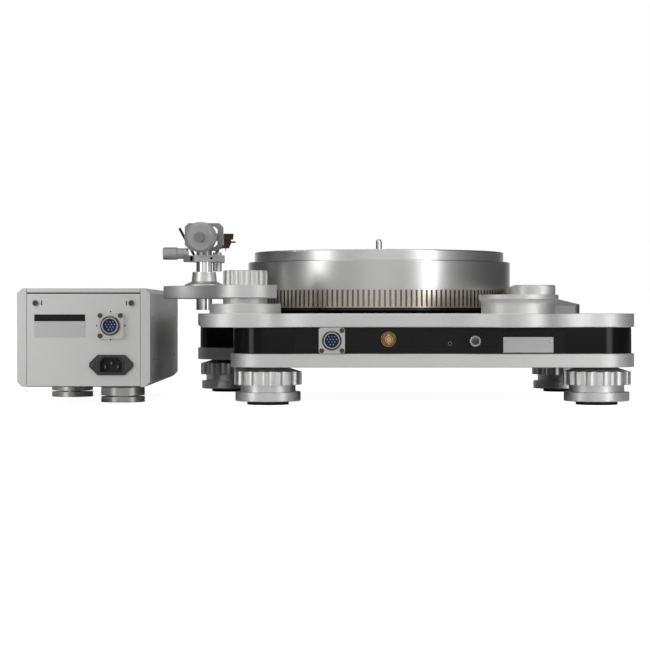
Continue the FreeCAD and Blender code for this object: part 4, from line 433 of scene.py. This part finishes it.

# %% [markdown]
# Coloured and dark finishes: the gilt bayonet socket, the bearing's bronze, magnets, the windings,
# the greys of the arm, the insulators and the cartridge. Dark gilt and dark thread are painted shade:
# they stand for grooves that are too narrow to look dark by themselves.

# %% Coloured finishes
MATERIALS["gold"] = metal("gold_plate", (0.56, 0.38, 0.15), (0.12, 0.22), "grain", 0.1, 1.5,
                          Scale=1800.0, Depth=0.15)
MATERIALS["gilt_shadow"] = metal("gilt_shadow", (0.16, 0.10, 0.04), (0.3, 0.42), "grain", 0.15, 1.4,
                                 Scale=2200.0, Depth=0.2)
# Painted shade: darkened metal for the socket threads, also taken by the jack's ring.
MATERIALS["thread_shade"] = metal("painted_thread_shade", (0.17, 0.155, 0.135), (0.2, 0.32), "grain", 0.15, 1.6,
                            Scale=2200.0, Depth=0.2)
MATERIALS["bronze"] = metal("bearing_bronze", (0.62, 0.42, 0.22), (0.2, 0.34), "grain", 0.1, 1.1,
                            Scale=1800.0, Depth=0.2)
MATERIALS["magnet"] = metal("sintered_magnet", (0.16, 0.16, 0.17), (0.3, 0.5), "grain", 0.2, 1.4,
                            Scale=1500.0, Depth=0.5)
MATERIALS["copper"] = metal("wound_copper", (0.60, 0.30, 0.16), (0.2, 0.35), "brush", 0.2, 1.1,
                            Stretch=(200.0, 200.0, 2600.0), Depth=0.8)
MATERIALS["dark_metal"] = metal("dark_grey_metal", (0.20, 0.20, 0.205), (0.28, 0.42), "grain", 0.1,
                                1.5, Scale=2800.0, Depth=0.25)
# Grey metal for the inlet's blade tips; on the silver control housing this grey is painted shade.
MATERIALS["grey"] = metal("grey_metal_and_shaded_silver", (0.30, 0.30, 0.30), (0.42, 0.52), "grain", 0.05, 1.3,
                          Scale=2800.0, Depth=0.2)
MATERIALS["arm_metal"] = metal("arm_metal", (0.32, 0.32, 0.325), (0.30, 0.42), "grain", 0.06, 1.5,
                               Scale=2800.0, Depth=0.2)
MATERIALS["clamp_metal"] = metal("clamp_metal", (0.62, 0.62, 0.62), (0.34, 0.46), "grain", 0.06, 1.4,
                                 Scale=2800.0, Depth=0.2)
MATERIALS["blue"] = lacquer("blue_insulator", (0.013, 0.036, 0.120), (0.34, 0.5), shine=0.3,
                            Scale=1600.0, Depth=0.3)
MATERIALS["cream"] = lacquer("cream_insulator", (0.74, 0.65, 0.55), (0.35, 0.5), "grain", 0.08, 1.1,
                             Scale=1600.0, Depth=0.3)
MATERIALS["brown"] = lacquer("cartridge_brown", (0.105, 0.042, 0.017), (0.25, 0.4), "brush", 0.35,
                             Stretch=(300.0, 1500.0, 300.0), Depth=0.3)
print("finishes", len(MATERIALS))


# %% [markdown]
# Turned pieces share one recipe with the rings centred on an upright axis. The platter and the feet
# are turned bright; the towers and the board's knob are blasted after turning, so their shine is
# broad and soft. Feet and knob have axes of their own, but their upright walls show the rings by
# height, so the platter's centre serves them too.


# %% Turned finishes
def turned(name, axis, colour=SILVER, gloss=(0.48, 0.58), contrast=0.04, edge=1.1, pitch=2400.0,
           depth=0.18):
    return metal(name, colour, gloss, "turning", contrast, edge, Centre=AXES[axis], Pitch=pitch,
                 Depth=depth)


MATERIALS["platter"] = turned("turned_platter", "platter", gloss=(0.28, 0.38), pitch=2000.0, depth=0.2)
MATERIALS["drum"] = turned("turned_drum", "platter", colour=(0.68, 0.68, 0.675), gloss=(0.26, 0.35),
                           depth=0.12)
MATERIALS["drive tower"] = turned("turned_drive_tower", "drive tower")
MATERIALS["arm tower"] = turned("turned_arm_tower", "arm tower", colour=(0.74, 0.74, 0.735))
MATERIALS["pillar parts"] = turned("turned_arm_base", "pillar", gloss=(0.38, 0.48))
MATERIALS["foot"] = turned("turned_foot", "platter", gloss=(0.32, 0.42))
MATERIALS["knob"] = turned("turned_knob", "platter", gloss=(0.46, 0.56))
MATERIALS["weight"] = turned("turned_weight", "pillar", colour=(0.52, 0.52, 0.525), gloss=(0.5, 0.6))
print("finishes", len(MATERIALS))


# %% [markdown]
# The driven ring under the platter has bright milled ribs over a lip in painted shade, and the slots
# between the ribs get painted shade too. It takes the metal recipe, and its colour is darkened again
# below the foot of the ribs and in the depth of the slots: both are painted shade.

# %% Ring finish
RIB_FOOT = 0.1082
SLOT_RADIUS = 0.1554
LIP_SHADE = (0.045, 0.042, 0.038, 1.0)
SLOT_SHADE = (0.28, 0.25, 0.21, 1.0)


def make_ring_finish():
    material = metal("ring_steel", (0.66, 0.615, 0.56), (0.22, 0.34), "brush", 0.08, 1.35,
                     Stretch=(700.0, 700.0, 40.0), Depth=0.15)
    tree = material.node_tree
    shader = tree.nodes["Principled BSDF"]
    bright = shader.inputs["Base Color"].links[0].from_socket
    # Painted shade: darker inside the slot radius, and darker again below the foot of the ribs.
    slots = effect(tree, "radius", Centre=AXES["platter"], Radius=SLOT_RADIUS)
    ribbed = blend_colour(tree, slots.outputs["Mask"], bright, SLOT_SHADE)
    band = effect(tree, "band", Height=RIB_FOOT)
    tree.links.new(blend_colour(tree, band.outputs["Mask"], ribbed, LIP_SHADE),
                   shader.inputs["Base Color"])
    return material


MATERIALS["ring"] = make_ring_finish()
print("finishes", len(MATERIALS))

# %% [markdown]
# Every node of the frame gets its finish. The finish is linked to the object and not to its mesh, so
# the loaded meshes stay as they came.

# %% Dress the frame
DRESS = {
    "plate": ["lower_plate", "upper_plate", "armboard"],
    "blasted": ["drive_head"],
    # The control housing is silver; the grey it takes is painted shade.
    "grey": ["control_housing"],
    "case": ["psu_side_panels", "psu_top_panel", "psu_rear_panel", "psu_front_panel"],
    "black": ["middle_frame", "psu_base_panel", "cue_lever"],
    "matt_black": ["base_disc"],
    "black_panel": ["rear_panel"],
    "fastener": ["cap_screws"],
    "polished": ["pillar", "spindle", "bearing_shaft"],
    "nickel": ["dc_sockets", "ground_post", "ground_nut", "psu_feet"],
    "ring": ["magnet_ring"],
    "gold": ["clock_socket"],
    "bronze": ["bearing_bush"],
    "magnet": ["lift_magnet_lower", "lift_magnet_upper", "drive_wheel"],
    "copper": ["psu_transformer", "drive_motor"],
    "dark_metal": ["gimbal_ring", "headshell", "lifter_bar"],
    "arm_metal": ["yoke", "arm_tube"],
    "clamp_metal": ["clamp_plate", "lifter_cylinder"],
    "blue": ["dc_inserts"],
    "plastic": ["power_inlet"],
    "rubber": ["foot_pads"],
    "brown": ["cartridge"],
    "glass": ["display_window"],
    "platter": ["platter_top", "platter_hub", "bearing_housing"],
    "drum": ["platter_drum"],
    "drive tower": ["drive_tower", "button_start", "button_speed", "power_button"],
    "arm tower": ["arm_tower"],
    "pillar parts": ["arm_base"],
    "knob": ["lock_knob"],
    "foot": ["feet", "collar_rear_left", "collar_rear_right", "collar_front_left",
             "collar_front_right"],
    "weight": ["antiskate_knob", "counterweight"],
}


def dress(thing, material):
    if not thing.material_slots:
        thing.data.materials.append(material)
    for holder in thing.material_slots:
        holder.link = "OBJECT"
        holder.material = material


dressed = set()
for key, names in DRESS.items():
    for name in names:
        dress(nodes[name], MATERIALS[key])
        dressed.add(name)
print("undressed", sorted(set(nodes) - dressed))


# %% [markdown]
# Small trim is modelled here. A piece is collected in one bmesh, closed and turned outwards, and
# then booked on the body that it rides on. Flat trim starts from a cube with bevelled edges; round
# trim spins a profile about its own axis.


# %% Trim helpers
def finish_piece(mesh, name, material, body="chassis"):
    bmesh.ops.recalc_face_normals(mesh, faces=mesh.faces)
    data = bpy.data.meshes.new(name)
    mesh.to_mesh(data)
    mesh.free()
    piece = bpy.data.objects.new(name, data)
    bpy.context.scene.collection.objects.link(piece)
    data.materials.append(MATERIALS[material])
    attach(piece, body)
    print(name, len(data.polygons), "faces")


def add_plate(mesh, low, high, bevel):
    """A box between two corners in millimetres from the platter's axis, with softened edges."""
    first, last = spot(*low), spot(*high)
    made = bmesh.ops.create_cube(mesh, size=1.0)
    middle = (first + last) / 2
    for vertex in made["verts"]:
        vertex.co = Vector(vertex.co[i] * abs(last[i] - first[i]) + middle[i] for i in range(3))
    edges = list({edge for vertex in made["verts"] for edge in vertex.link_edges})
    bmesh.ops.bevel(mesh, geom=edges, offset=bevel / 1000, offset_type="OFFSET", segments=1,
                    profile=0.5, affect="EDGES", clamp_overlap=True, material=-1)


def add_turning(mesh, place, direction, profile, steps=32):
    """A closed turned solid: profile is (radius, height) pairs in millimetres along direction."""
    turn = Vector((0, 0, 1)).rotation_difference(Vector(direction)).to_matrix().to_4x4()
    seat = Matrix.Translation(spot(*place)) @ turn
    ring = [mesh.verts.new(seat @ Vector((radius / 1000, 0, height / 1000)))
            for radius, height in profile]
    edges = [mesh.edges.new((ring[i], ring[i + 1])) for i in range(len(ring) - 1)]
    bmesh.ops.spin(mesh, geom=ring + edges, cent=spot(*place), axis=Vector(direction),
                   angle=2 * math.pi, steps=steps, use_merge=True, use_duplicate=False)
    bmesh.ops.remove_doubles(mesh, verts=mesh.verts, dist=1e-7)


# %% [markdown]
# Each rear panel carries a nameplate. It is left bare here: a grey plate under a black strip, held
# by a round-headed screw at each end. The plate and its strip are two bevelled slabs, one above the
# other, so the seam between them shows as a real edge.

# %% Nameplates
LABEL_PROUD = 0.5
LABEL_SCREW_IN = 2.9


def nameplate(name, x_low, x_high, face, z_low, z_high, strip):
    top = face + LABEL_PROUD
    silver = bmesh.new()
    add_plate(silver, (x_low, face, z_low), (x_high, top, strip), 0.15)
    finish_piece(silver, f"{name}_plate", "label")
    dark = bmesh.new()
    add_plate(dark, (x_low, face, strip), (x_high, top, z_high), 0.15)
    finish_piece(dark, f"{name}_strip", "black_panel")
    screws = bmesh.new()
    for x in (x_low + LABEL_SCREW_IN, x_high - LABEL_SCREW_IN):
        add_turning(screws, (x, top, (z_low + z_high) / 2), (0, 1, 0), [
            (0, -0.2), (1.9, -0.2), (1.9, 0.25), (1.5, 0.6), (0.7, 0.75), (0.55, 0.4), (0, 0.4),
        ], 24)
    finish_piece(screws, f"{name}_screws", "nickel")


nameplate("rear_label", -186.5, -131.4, PANEL_FACE, 58.4, 83.1, 75.6)
nameplate("supply_label", 327.5, 383.3, SUPPLY_REAR, 75.4, 100.4, 93.0)

# %% [markdown]
# A small jack sits in the turntable's rear panel. Only its ring and its dark well are seen from
# outside, so a spun ring and a dished plug inside it are enough.

# %% Rear panel jack
JACK_PLACE = (-72.8, PANEL_FACE, 68.3)
jack = bmesh.new()
add_turning(jack, JACK_PLACE, (0, 1, 0),
            [(1.3, -0.3), (2.6, -0.3), (2.6, 0.5), (2.2, 0.9), (1.5, 0.9), (1.3, 0.5), (1.3, -0.3)], 28)
finish_piece(jack, "jack_ring", "thread_shade")
well = bmesh.new()
add_turning(well, JACK_PLACE, (0, 1, 0),
            [(0, -0.2), (1.25, -0.2), (1.25, 0.12), (0.9, 0.3), (0.5, 0.0), (0, 0.0)], 20)
finish_piece(well, "jack_well", "black")

# %% [markdown]
# The earth stud ends in a dark cap that almost fills the dish of its nut, painted shade for the
# hollow of the dish. It sits on the fixed stud and not on the nut, so the nut turns around it.

# %% Earth stud cap
STUD_PLACE = (-100.3, PANEL_FACE, 71.1)
cap = bmesh.new()
add_turning(cap, STUD_PLACE, (0, 1, 0), [
    (0, 6.6), (3.4, 6.6), (3.4, 12.2), (2.9, 12.7), (1.3, 12.9), (0, 13.0),
], 32)
finish_piece(cap, "earth_cap_shade", "fastener")

# %% [markdown]
# The arm clamp is pinched by a screw across its slit and held by a set screw in its rear face. Both
# are small and dark. The pinch screw lies along x inside the slit, and the set screw sits a little
# below the face, so its hole still throws a shadow.

# %% Clamp screws
CLAMP_MIDDLE = 164.7
screws = bmesh.new()
add_turning(screws, (216.4, 120.0, CLAMP_MIDDLE), (1, 0, 0), [
    (0, 0.0), (2.2, 0.0), (2.6, 0.3), (2.6, 2.7), (2.2, 3.0), (0, 3.0),
], 32)
add_turning(screws, (195.0, 122.4, CLAMP_MIDDLE), (0, 1, 0), [
    (0, 0.0), (1.32, 0.0), (1.32, 3.8), (1.1, 4.0), (0.6, 4.0), (0.5, 3.2), (0, 3.1),
], 24)
finish_piece(screws, "clamp_screws", "matt_black", "arm_post")

# %% [markdown]
# The contacts are bright where the moulding around them is dark. The model's insulator and its pins
# are one part, so each pin gets a bright domed cap here, twelve to a socket.

# %% Socket pins
PIN_ROWS = (3, 4, 3, 2)
PIN_PITCH = 3.3
INSERT_FACE = 5.5
SOCKET_PLACES = ((57.0, PANEL_FACE, 71.7), (299.5, SUPPLY_REAR, 88.1))
pins = bmesh.new()
for x, face, z in SOCKET_PLACES:
    for row, count in enumerate(PIN_ROWS):
        rise = PIN_PITCH * math.sin(math.radians(60)) * (1.5 - row)
        for step in range(count):
            side = PIN_PITCH * (step - (count - 1) / 2)
            add_turning(pins, (x + side, face + INSERT_FACE, z + rise), (0, 1, 0),
                        [(0, -0.2), (0.8, -0.2), (0.8, 1.3), (0.5, 1.8), (0, 1.9)], 10)
finish_piece(pins, "dc_pins", "nickel")

# %% [markdown]
# The mains inlet's three blades end in bright tips, and the bayonet socket has a cream tube around
# its centre pin. Both stand inside dark mouths, where they catch the eye.

# %% Inlet tips and bayonet insulator
INLET_X, BLADE_TIP, INLET_Z = 298.8, 219.5, 45.0
BLADES = ((-7.0, -2.0), (0.0, 2.0), (7.0, -2.0))
tips = bmesh.new()
for side, rise in BLADES:
    x, z = INLET_X + side, INLET_Z + rise
    add_plate(tips, (x - 0.75, BLADE_TIP - 0.4, z - 1.3), (x + 0.75, BLADE_TIP + 0.3, z + 1.3), 0.25)
finish_piece(tips, "inlet_tips", "grey")

BAYONET_PLACE = (-5.3, PANEL_FACE, 73.2)
tube = bmesh.new()
add_turning(tube, BAYONET_PLACE, (0, 1, 0),
            [(0.95, 2.7), (2.3, 2.7), (2.3, 9.2), (2.0, 9.5), (0.95, 9.5), (0.95, 2.7)], 28)
finish_piece(tube, "bayonet_insulator", "cream")

# %% [markdown]
# The barrels of the multi-pin sockets carry a thread for the plug's ring, and the bayonet nut has a
# groove in its face; both are coloured dark as painted shade. A spun profile with small crests gives
# both: the barrel beneath stays as it is.

# %% Socket threads and groove
THREAD = [(10.0, 4.5), (10.45, 4.5)]
for turn_number in range(4):
    THREAD += [(10.75, 5.0 + turn_number), (10.45, 5.5 + turn_number)]
THREAD += [(10.45, 9.25), (9.2, 10.5), (8.75, 10.64), (8.6, 10.55), (8.6, 10.2), (10.0, 8.9),
           (10.0, 4.5)]
threads = bmesh.new()
for x, face, z in SOCKET_PLACES:
    add_turning(threads, (x, face, z), (0, 1, 0), THREAD, 48)
finish_piece(threads, "socket_threads", "thread_shade")

groove = bmesh.new()
add_turning(groove, BAYONET_PLACE, (0, 1, 0),
            [(6.3, 2.5), (7.5, 2.5), (7.5, 2.66), (6.3, 2.66), (6.3, 2.5)], 48)
finish_piece(groove, "bayonet_groove_shade", "gilt_shadow")

# %% [markdown]
# A low lip runs round the inlet's mouth. It starts as one flat outline: insetting it leaves a band
# of faces, the middle is dropped, and the band is extruded outwards and bevelled.

# %% Inlet lip
LIP_OUTLINE = [(-13.6, -9.6), (13.6, -9.6), (13.6, 4.6), (8.6, 9.6), (-8.6, 9.6), (-13.6, 4.6)]
LIP_BACK = SUPPLY_REAR + 2.5
LIP_WIDTH = 0.0013
LIP_HEIGHT = 0.0009
LIP_ROUND = 0.0003
lip = bmesh.new()
corners = [lip.verts.new(spot(INLET_X + x, LIP_BACK, INLET_Z + z)) for x, z in LIP_OUTLINE]
middle = lip.faces.new(corners)
bmesh.ops.inset_region(lip, faces=[middle], thickness=LIP_WIDTH, use_even_offset=True,
                       use_boundary=True)
bmesh.ops.delete(lip, geom=[middle], context="FACES_ONLY")
risen = bmesh.ops.extrude_face_region(lip, geom=list(lip.faces), use_keep_orig=True)["geom"]
risen_points = [part for part in risen if isinstance(part, bmesh.types.BMVert)]
bmesh.ops.translate(lip, vec=(0, LIP_HEIGHT, 0), verts=risen_points)
top_edges = [part for part in risen if isinstance(part, bmesh.types.BMEdge)
             and len(part.link_faces) == 2
             and any(abs(face.normal.y) < 0.5 for face in part.link_faces)]
lip.normal_update()
bmesh.ops.bevel(lip, geom=top_edges, offset=LIP_ROUND, offset_type="OFFSET", segments=2, profile=0.5,
                affect="EDGES", clamp_overlap=True, material=-1)
finish_piece(lip, "inlet_lip", "plastic")

# %% [markdown]
# Seen level, the slit under the driven ring lies in shade right across. A thin black rim on the base
# disc closes it as painted shade: a spun ring that stays clear of the ring turning outside it.

# %% Base disc rim
DISC_TOP = 1000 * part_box("base_disc")[1][2]
RIM_INNER = 109.5
RIM_OUTER = 126.0
RIM_LOW, RIM_HIGH = DISC_TOP - 3.8, DISC_TOP - 0.1
RIM_BEVEL = 0.4
rim = bmesh.new()
add_turning(rim, (0, 0, 0), (0, 0, 1),
            [(RIM_INNER, RIM_LOW), (RIM_OUTER, RIM_LOW), (RIM_OUTER, RIM_HIGH - RIM_BEVEL),
             (RIM_OUTER - RIM_BEVEL, RIM_HIGH), (RIM_INNER, RIM_HIGH), (RIM_INNER, RIM_LOW)], 96)
finish_piece(rim, "base_disc_shade_rim", "matt_black")

# %% [markdown]
# The supply's thick side panels are held by small countersunk screws. The slots and marks on its
# rear panel are only a fraction of a millimetre deep, so thin dark insets stand for them as painted
# shade.

# %% Supply trim
SIDE_SCREWS = [(180.0, 97.0), (180.0, 50.0), (-120.0, 97.0), (-120.0, 50.0)]
side_screws = bmesh.new()
for y, z in SIDE_SCREWS:
    add_turning(side_screws, (SUPPLY_LEFT, y, z), (-1, 0, 0),
                [(0, -0.3), (2.1, -0.3), (2.1, 0.0), (1.9, 0.15), (0.9, 0.15), (0.9, -0.15), (0, -0.15)],
                24)
finish_piece(side_screws, "side_screws", "fastener")

DOT_REACH = 15.45
SLOT_PLACES = (375.3, 282.1)
marks = bmesh.new()
for x in SLOT_PLACES:
    add_plate(marks, (x - 0.6, SUPPLY_REAR - 0.2, 110.6), (x + 0.6, SUPPLY_REAR + 0.08, 115.6), 0.05)
socket_x, _, socket_z = SOCKET_PLACES[1]
for side, rise in ((-1, 0), (1, 0), (0, -1), (0, 1)):
    add_turning(marks, (socket_x + side * DOT_REACH, SUPPLY_REAR, socket_z + rise * DOT_REACH),
                (0, 1, 0), [(0, -0.2), (0.8, -0.2), (0.8, 0.1), (0, 0.1)], 16)
finish_piece(marks, "panel_marks", "black")

# %% [markdown]
# Soft studio light. One tall, narrow soft box stands on each side, between the object and the
# camera, and draws the bright bands on the round pieces; a broad one above lights the level faces.


# %% Lights
def soft_box(name, place, aim, width, height, watts):
    data = bpy.data.lights.new(name, "AREA")
    data.shape = "RECTANGLE"
    data.size = width
    data.size_y = height
    data.energy = watts
    lamp = bpy.data.objects.new(name, data)
    lamp.location = place
    lamp.rotation_euler = (Vector(place) - Vector(aim)).to_track_quat("Z", "Y").to_euler()
    bpy.context.scene.collection.objects.link(lamp)


soft_box("soft_box_right", (-0.60, 0.66, 0.38), (-0.05, 0.1, 0.1), 0.22, 0.9, 1.6)
soft_box("soft_box_left", (0.58, 0.52, 0.38), (0.05, 0.1, 0.1), 0.19, 0.9, 1.4)
soft_box("soft_box_top", (0.0, 0.1, 1.3), (0.0, 0.0, 0.1), 1.2, 0.9, 3.0)

# %% [markdown]
# The backdrop is plain white, and metal and glass mirror it as white too: rays from the camera, off
# metal and through glass all see it. Other rays get a dim grey, so it adds little light.

# %% World
BACKDROP_LIGHT = 0.5


def background_rays(tree):
    """One for the rays that show the background, and nothing for those that only carry light."""
    rays = add(tree, "ShaderNodeLightPath").outputs
    mirrored = sums(tree, "MAXIMUM", rays["Is Glossy Ray"], rays["Is Transmission Ray"])
    return sums(tree, "MAXIMUM", rays["Is Camera Ray"], mirrored)


world = bpy.data.worlds.new("studio")
bpy.context.scene.world = world
world.use_nodes = True
tree = world.node_tree
tree.nodes.clear()
dim = add(tree, "ShaderNodeBackground", None, {"Color": (1, 1, 1, 1), "Strength": BACKDROP_LIGHT})
white = add(tree, "ShaderNodeBackground", None, {"Color": (1, 1, 1, 1), "Strength": 1.0})
choice = add(tree, "ShaderNodeMixShader", None,
             {0: background_rays(tree), 1: dim.outputs[0], 2: white.outputs[0]})
add(tree, "ShaderNodeOutputWorld", None, {"Surface": choice.outputs[0]})
print("world", world.name)

# %% [markdown]
# A tent of dim cloth stands around the set, as for any shiny product. It is open towards the
# backdrop, so faces seen at a glancing angle mirror the white, and round pieces fall off into its
# dark sides. Its wall behind the camera is paler and gives flat faces their grey. It starts as a
# sphere whose opening is cut out, and the camera looks through it.

# %% Studio tent
TENT_RADIUS = 9.0
TENT_OPENING = 0.96
STOPS = [(0.0, 0.92), (0.025, 0.70), (0.07, 0.16), (0.14, 0.06), (0.33, 0.05), (0.52, 0.11),
         (0.72, 0.30), (0.90, 0.54), (0.955, 0.62), (1.0, 0.98)]


def tent_cloth():
    """Cloth that glows by the direction in which it hangs, from the backdrop to the camera's side."""
    cloth = bpy.data.materials.new("tent_cloth")
    cloth.use_nodes = True
    tree = cloth.node_tree
    tree.nodes.clear()
    place = add(tree, "ShaderNodeTexCoord").outputs["Object"]
    way = vector_math(tree, "NORMALIZE", place).outputs[0]
    parts = add(tree, "ShaderNodeSeparateXYZ", None, {0: way})
    walls = add(tree, "ShaderNodeValToRGB", None,
                {0: span(tree, parts.outputs["Y"], -1.0, 1.0, 0.0, 1.0)})
    ramp = walls.color_ramp
    ramp.interpolation = "EASE"
    while len(ramp.elements) < len(STOPS):
        ramp.elements.new(0.5)
    for element, (position, level) in zip(ramp.elements, STOPS):
        element.position = position
        element.color = (level, level, level, 1.0)
    lit = add(tree, "ShaderNodeEmission", None, {"Color": walls.outputs[0], "Strength": 1.0})
    add(tree, "ShaderNodeOutputMaterial", None, {"Surface": lit.outputs[0]})
    return cloth


def stage_piece(mesh, name, material):
    """A thing of the studio that the camera looks through."""
    data = bpy.data.meshes.new(name)
    mesh.to_mesh(data)
    mesh.free()
    data.materials.append(material)
    thing = bpy.data.objects.new(name, data)
    thing.visible_camera = False
    bpy.context.scene.collection.objects.link(thing)
    print(name, len(data.polygons), "faces")
    return thing


tent = bmesh.new()
bmesh.ops.create_icosphere(tent, subdivisions=5, radius=TENT_RADIUS)
opening = [face for face in tent.faces if -face.calc_center_median().normalized().y > TENT_OPENING]
bmesh.ops.delete(tent, geom=opening, context="FACES")
stage_piece(tent, "studio_tent", tent_cloth())

# %% [markdown]
# The floor is plain and pale. What sees the background sees it near white, with only the faint
# shadow of the feet. A sheet of the same paper without that glow lies over it for the metal alone,
# so that the feet mirror a dim ground, as they do in the photo.

# %% Floor
FLOOR_GLOW = 0.94
FLOOR_REACH = 12.0
FLOOR_DROP = 0.0002
floor_mesh = bmesh.new()
bmesh.ops.create_grid(floor_mesh, x_segments=2, y_segments=2, size=FLOOR_REACH)
floor_data = bpy.data.meshes.new("floor")
floor_mesh.to_mesh(floor_data)
floor_mesh.free()
floor = bpy.data.objects.new("floor", floor_data)
floor.location = (0, 0, -FLOOR_DROP)
bpy.context.scene.collection.objects.link(floor)


def paper_finish(name):
    material, tree, shader = new_material(name)
    paper = effect(tree, "grain", Scale=300.0, Depth=0.1)
    colour = blend_colour(tree, paper.outputs["Value"], (0.78, 0.78, 0.78, 1), (0.82, 0.82, 0.82, 1))
    tree.links.new(colour, shader.inputs["Base Color"])
    shader.inputs["Roughness"].default_value = 0.9
    shader.inputs["Specular IOR Level"].default_value = 0.1
    return material, tree, shader


floor_material, tree, shader = paper_finish("pale_floor")
glow = add(tree, "ShaderNodeEmission", None, {"Color": (1, 1, 1, 1), "Strength": FLOOR_GLOW})
both = add(tree, "ShaderNodeAddShader", None, {0: shader.outputs[0], 1: glow.outputs[0]})
seen = add(tree, "ShaderNodeMixShader", None,
           {0: background_rays(tree), 1: shader.outputs[0], 2: both.outputs[0]})
tree.links.new(seen.outputs[0], tree.nodes["Material Output"].inputs["Surface"])
floor_data.materials.append(floor_material)
print("floor made")

sheet_mesh = bmesh.new()
bmesh.ops.create_grid(sheet_mesh, x_segments=2, y_segments=2, size=FLOOR_REACH)
bmesh.ops.translate(sheet_mesh, vec=(0, 0, -FLOOR_DROP / 2), verts=sheet_mesh.verts)
ground_sheet = stage_piece(sheet_mesh, "ground_sheet", paper_finish("dim_paper")[0])
for sight in ("visible_diffuse", "visible_shadow", "visible_transmission"):
    setattr(ground_sheet, sight, False)

# %% [markdown]
# In the studio a black card keeps the far feet dark, so that the near ones stand out. It stands
# across under the plates, and the camera looks through it.

# %% Black card
CARD = ((-215.0, 8.0, 2.0), (225.0, 9.0, 39.0))
card = bmesh.new()
add_plate(card, *CARD, 0.1)
stage_piece(card, "black_card", MATERIALS["rubber"])
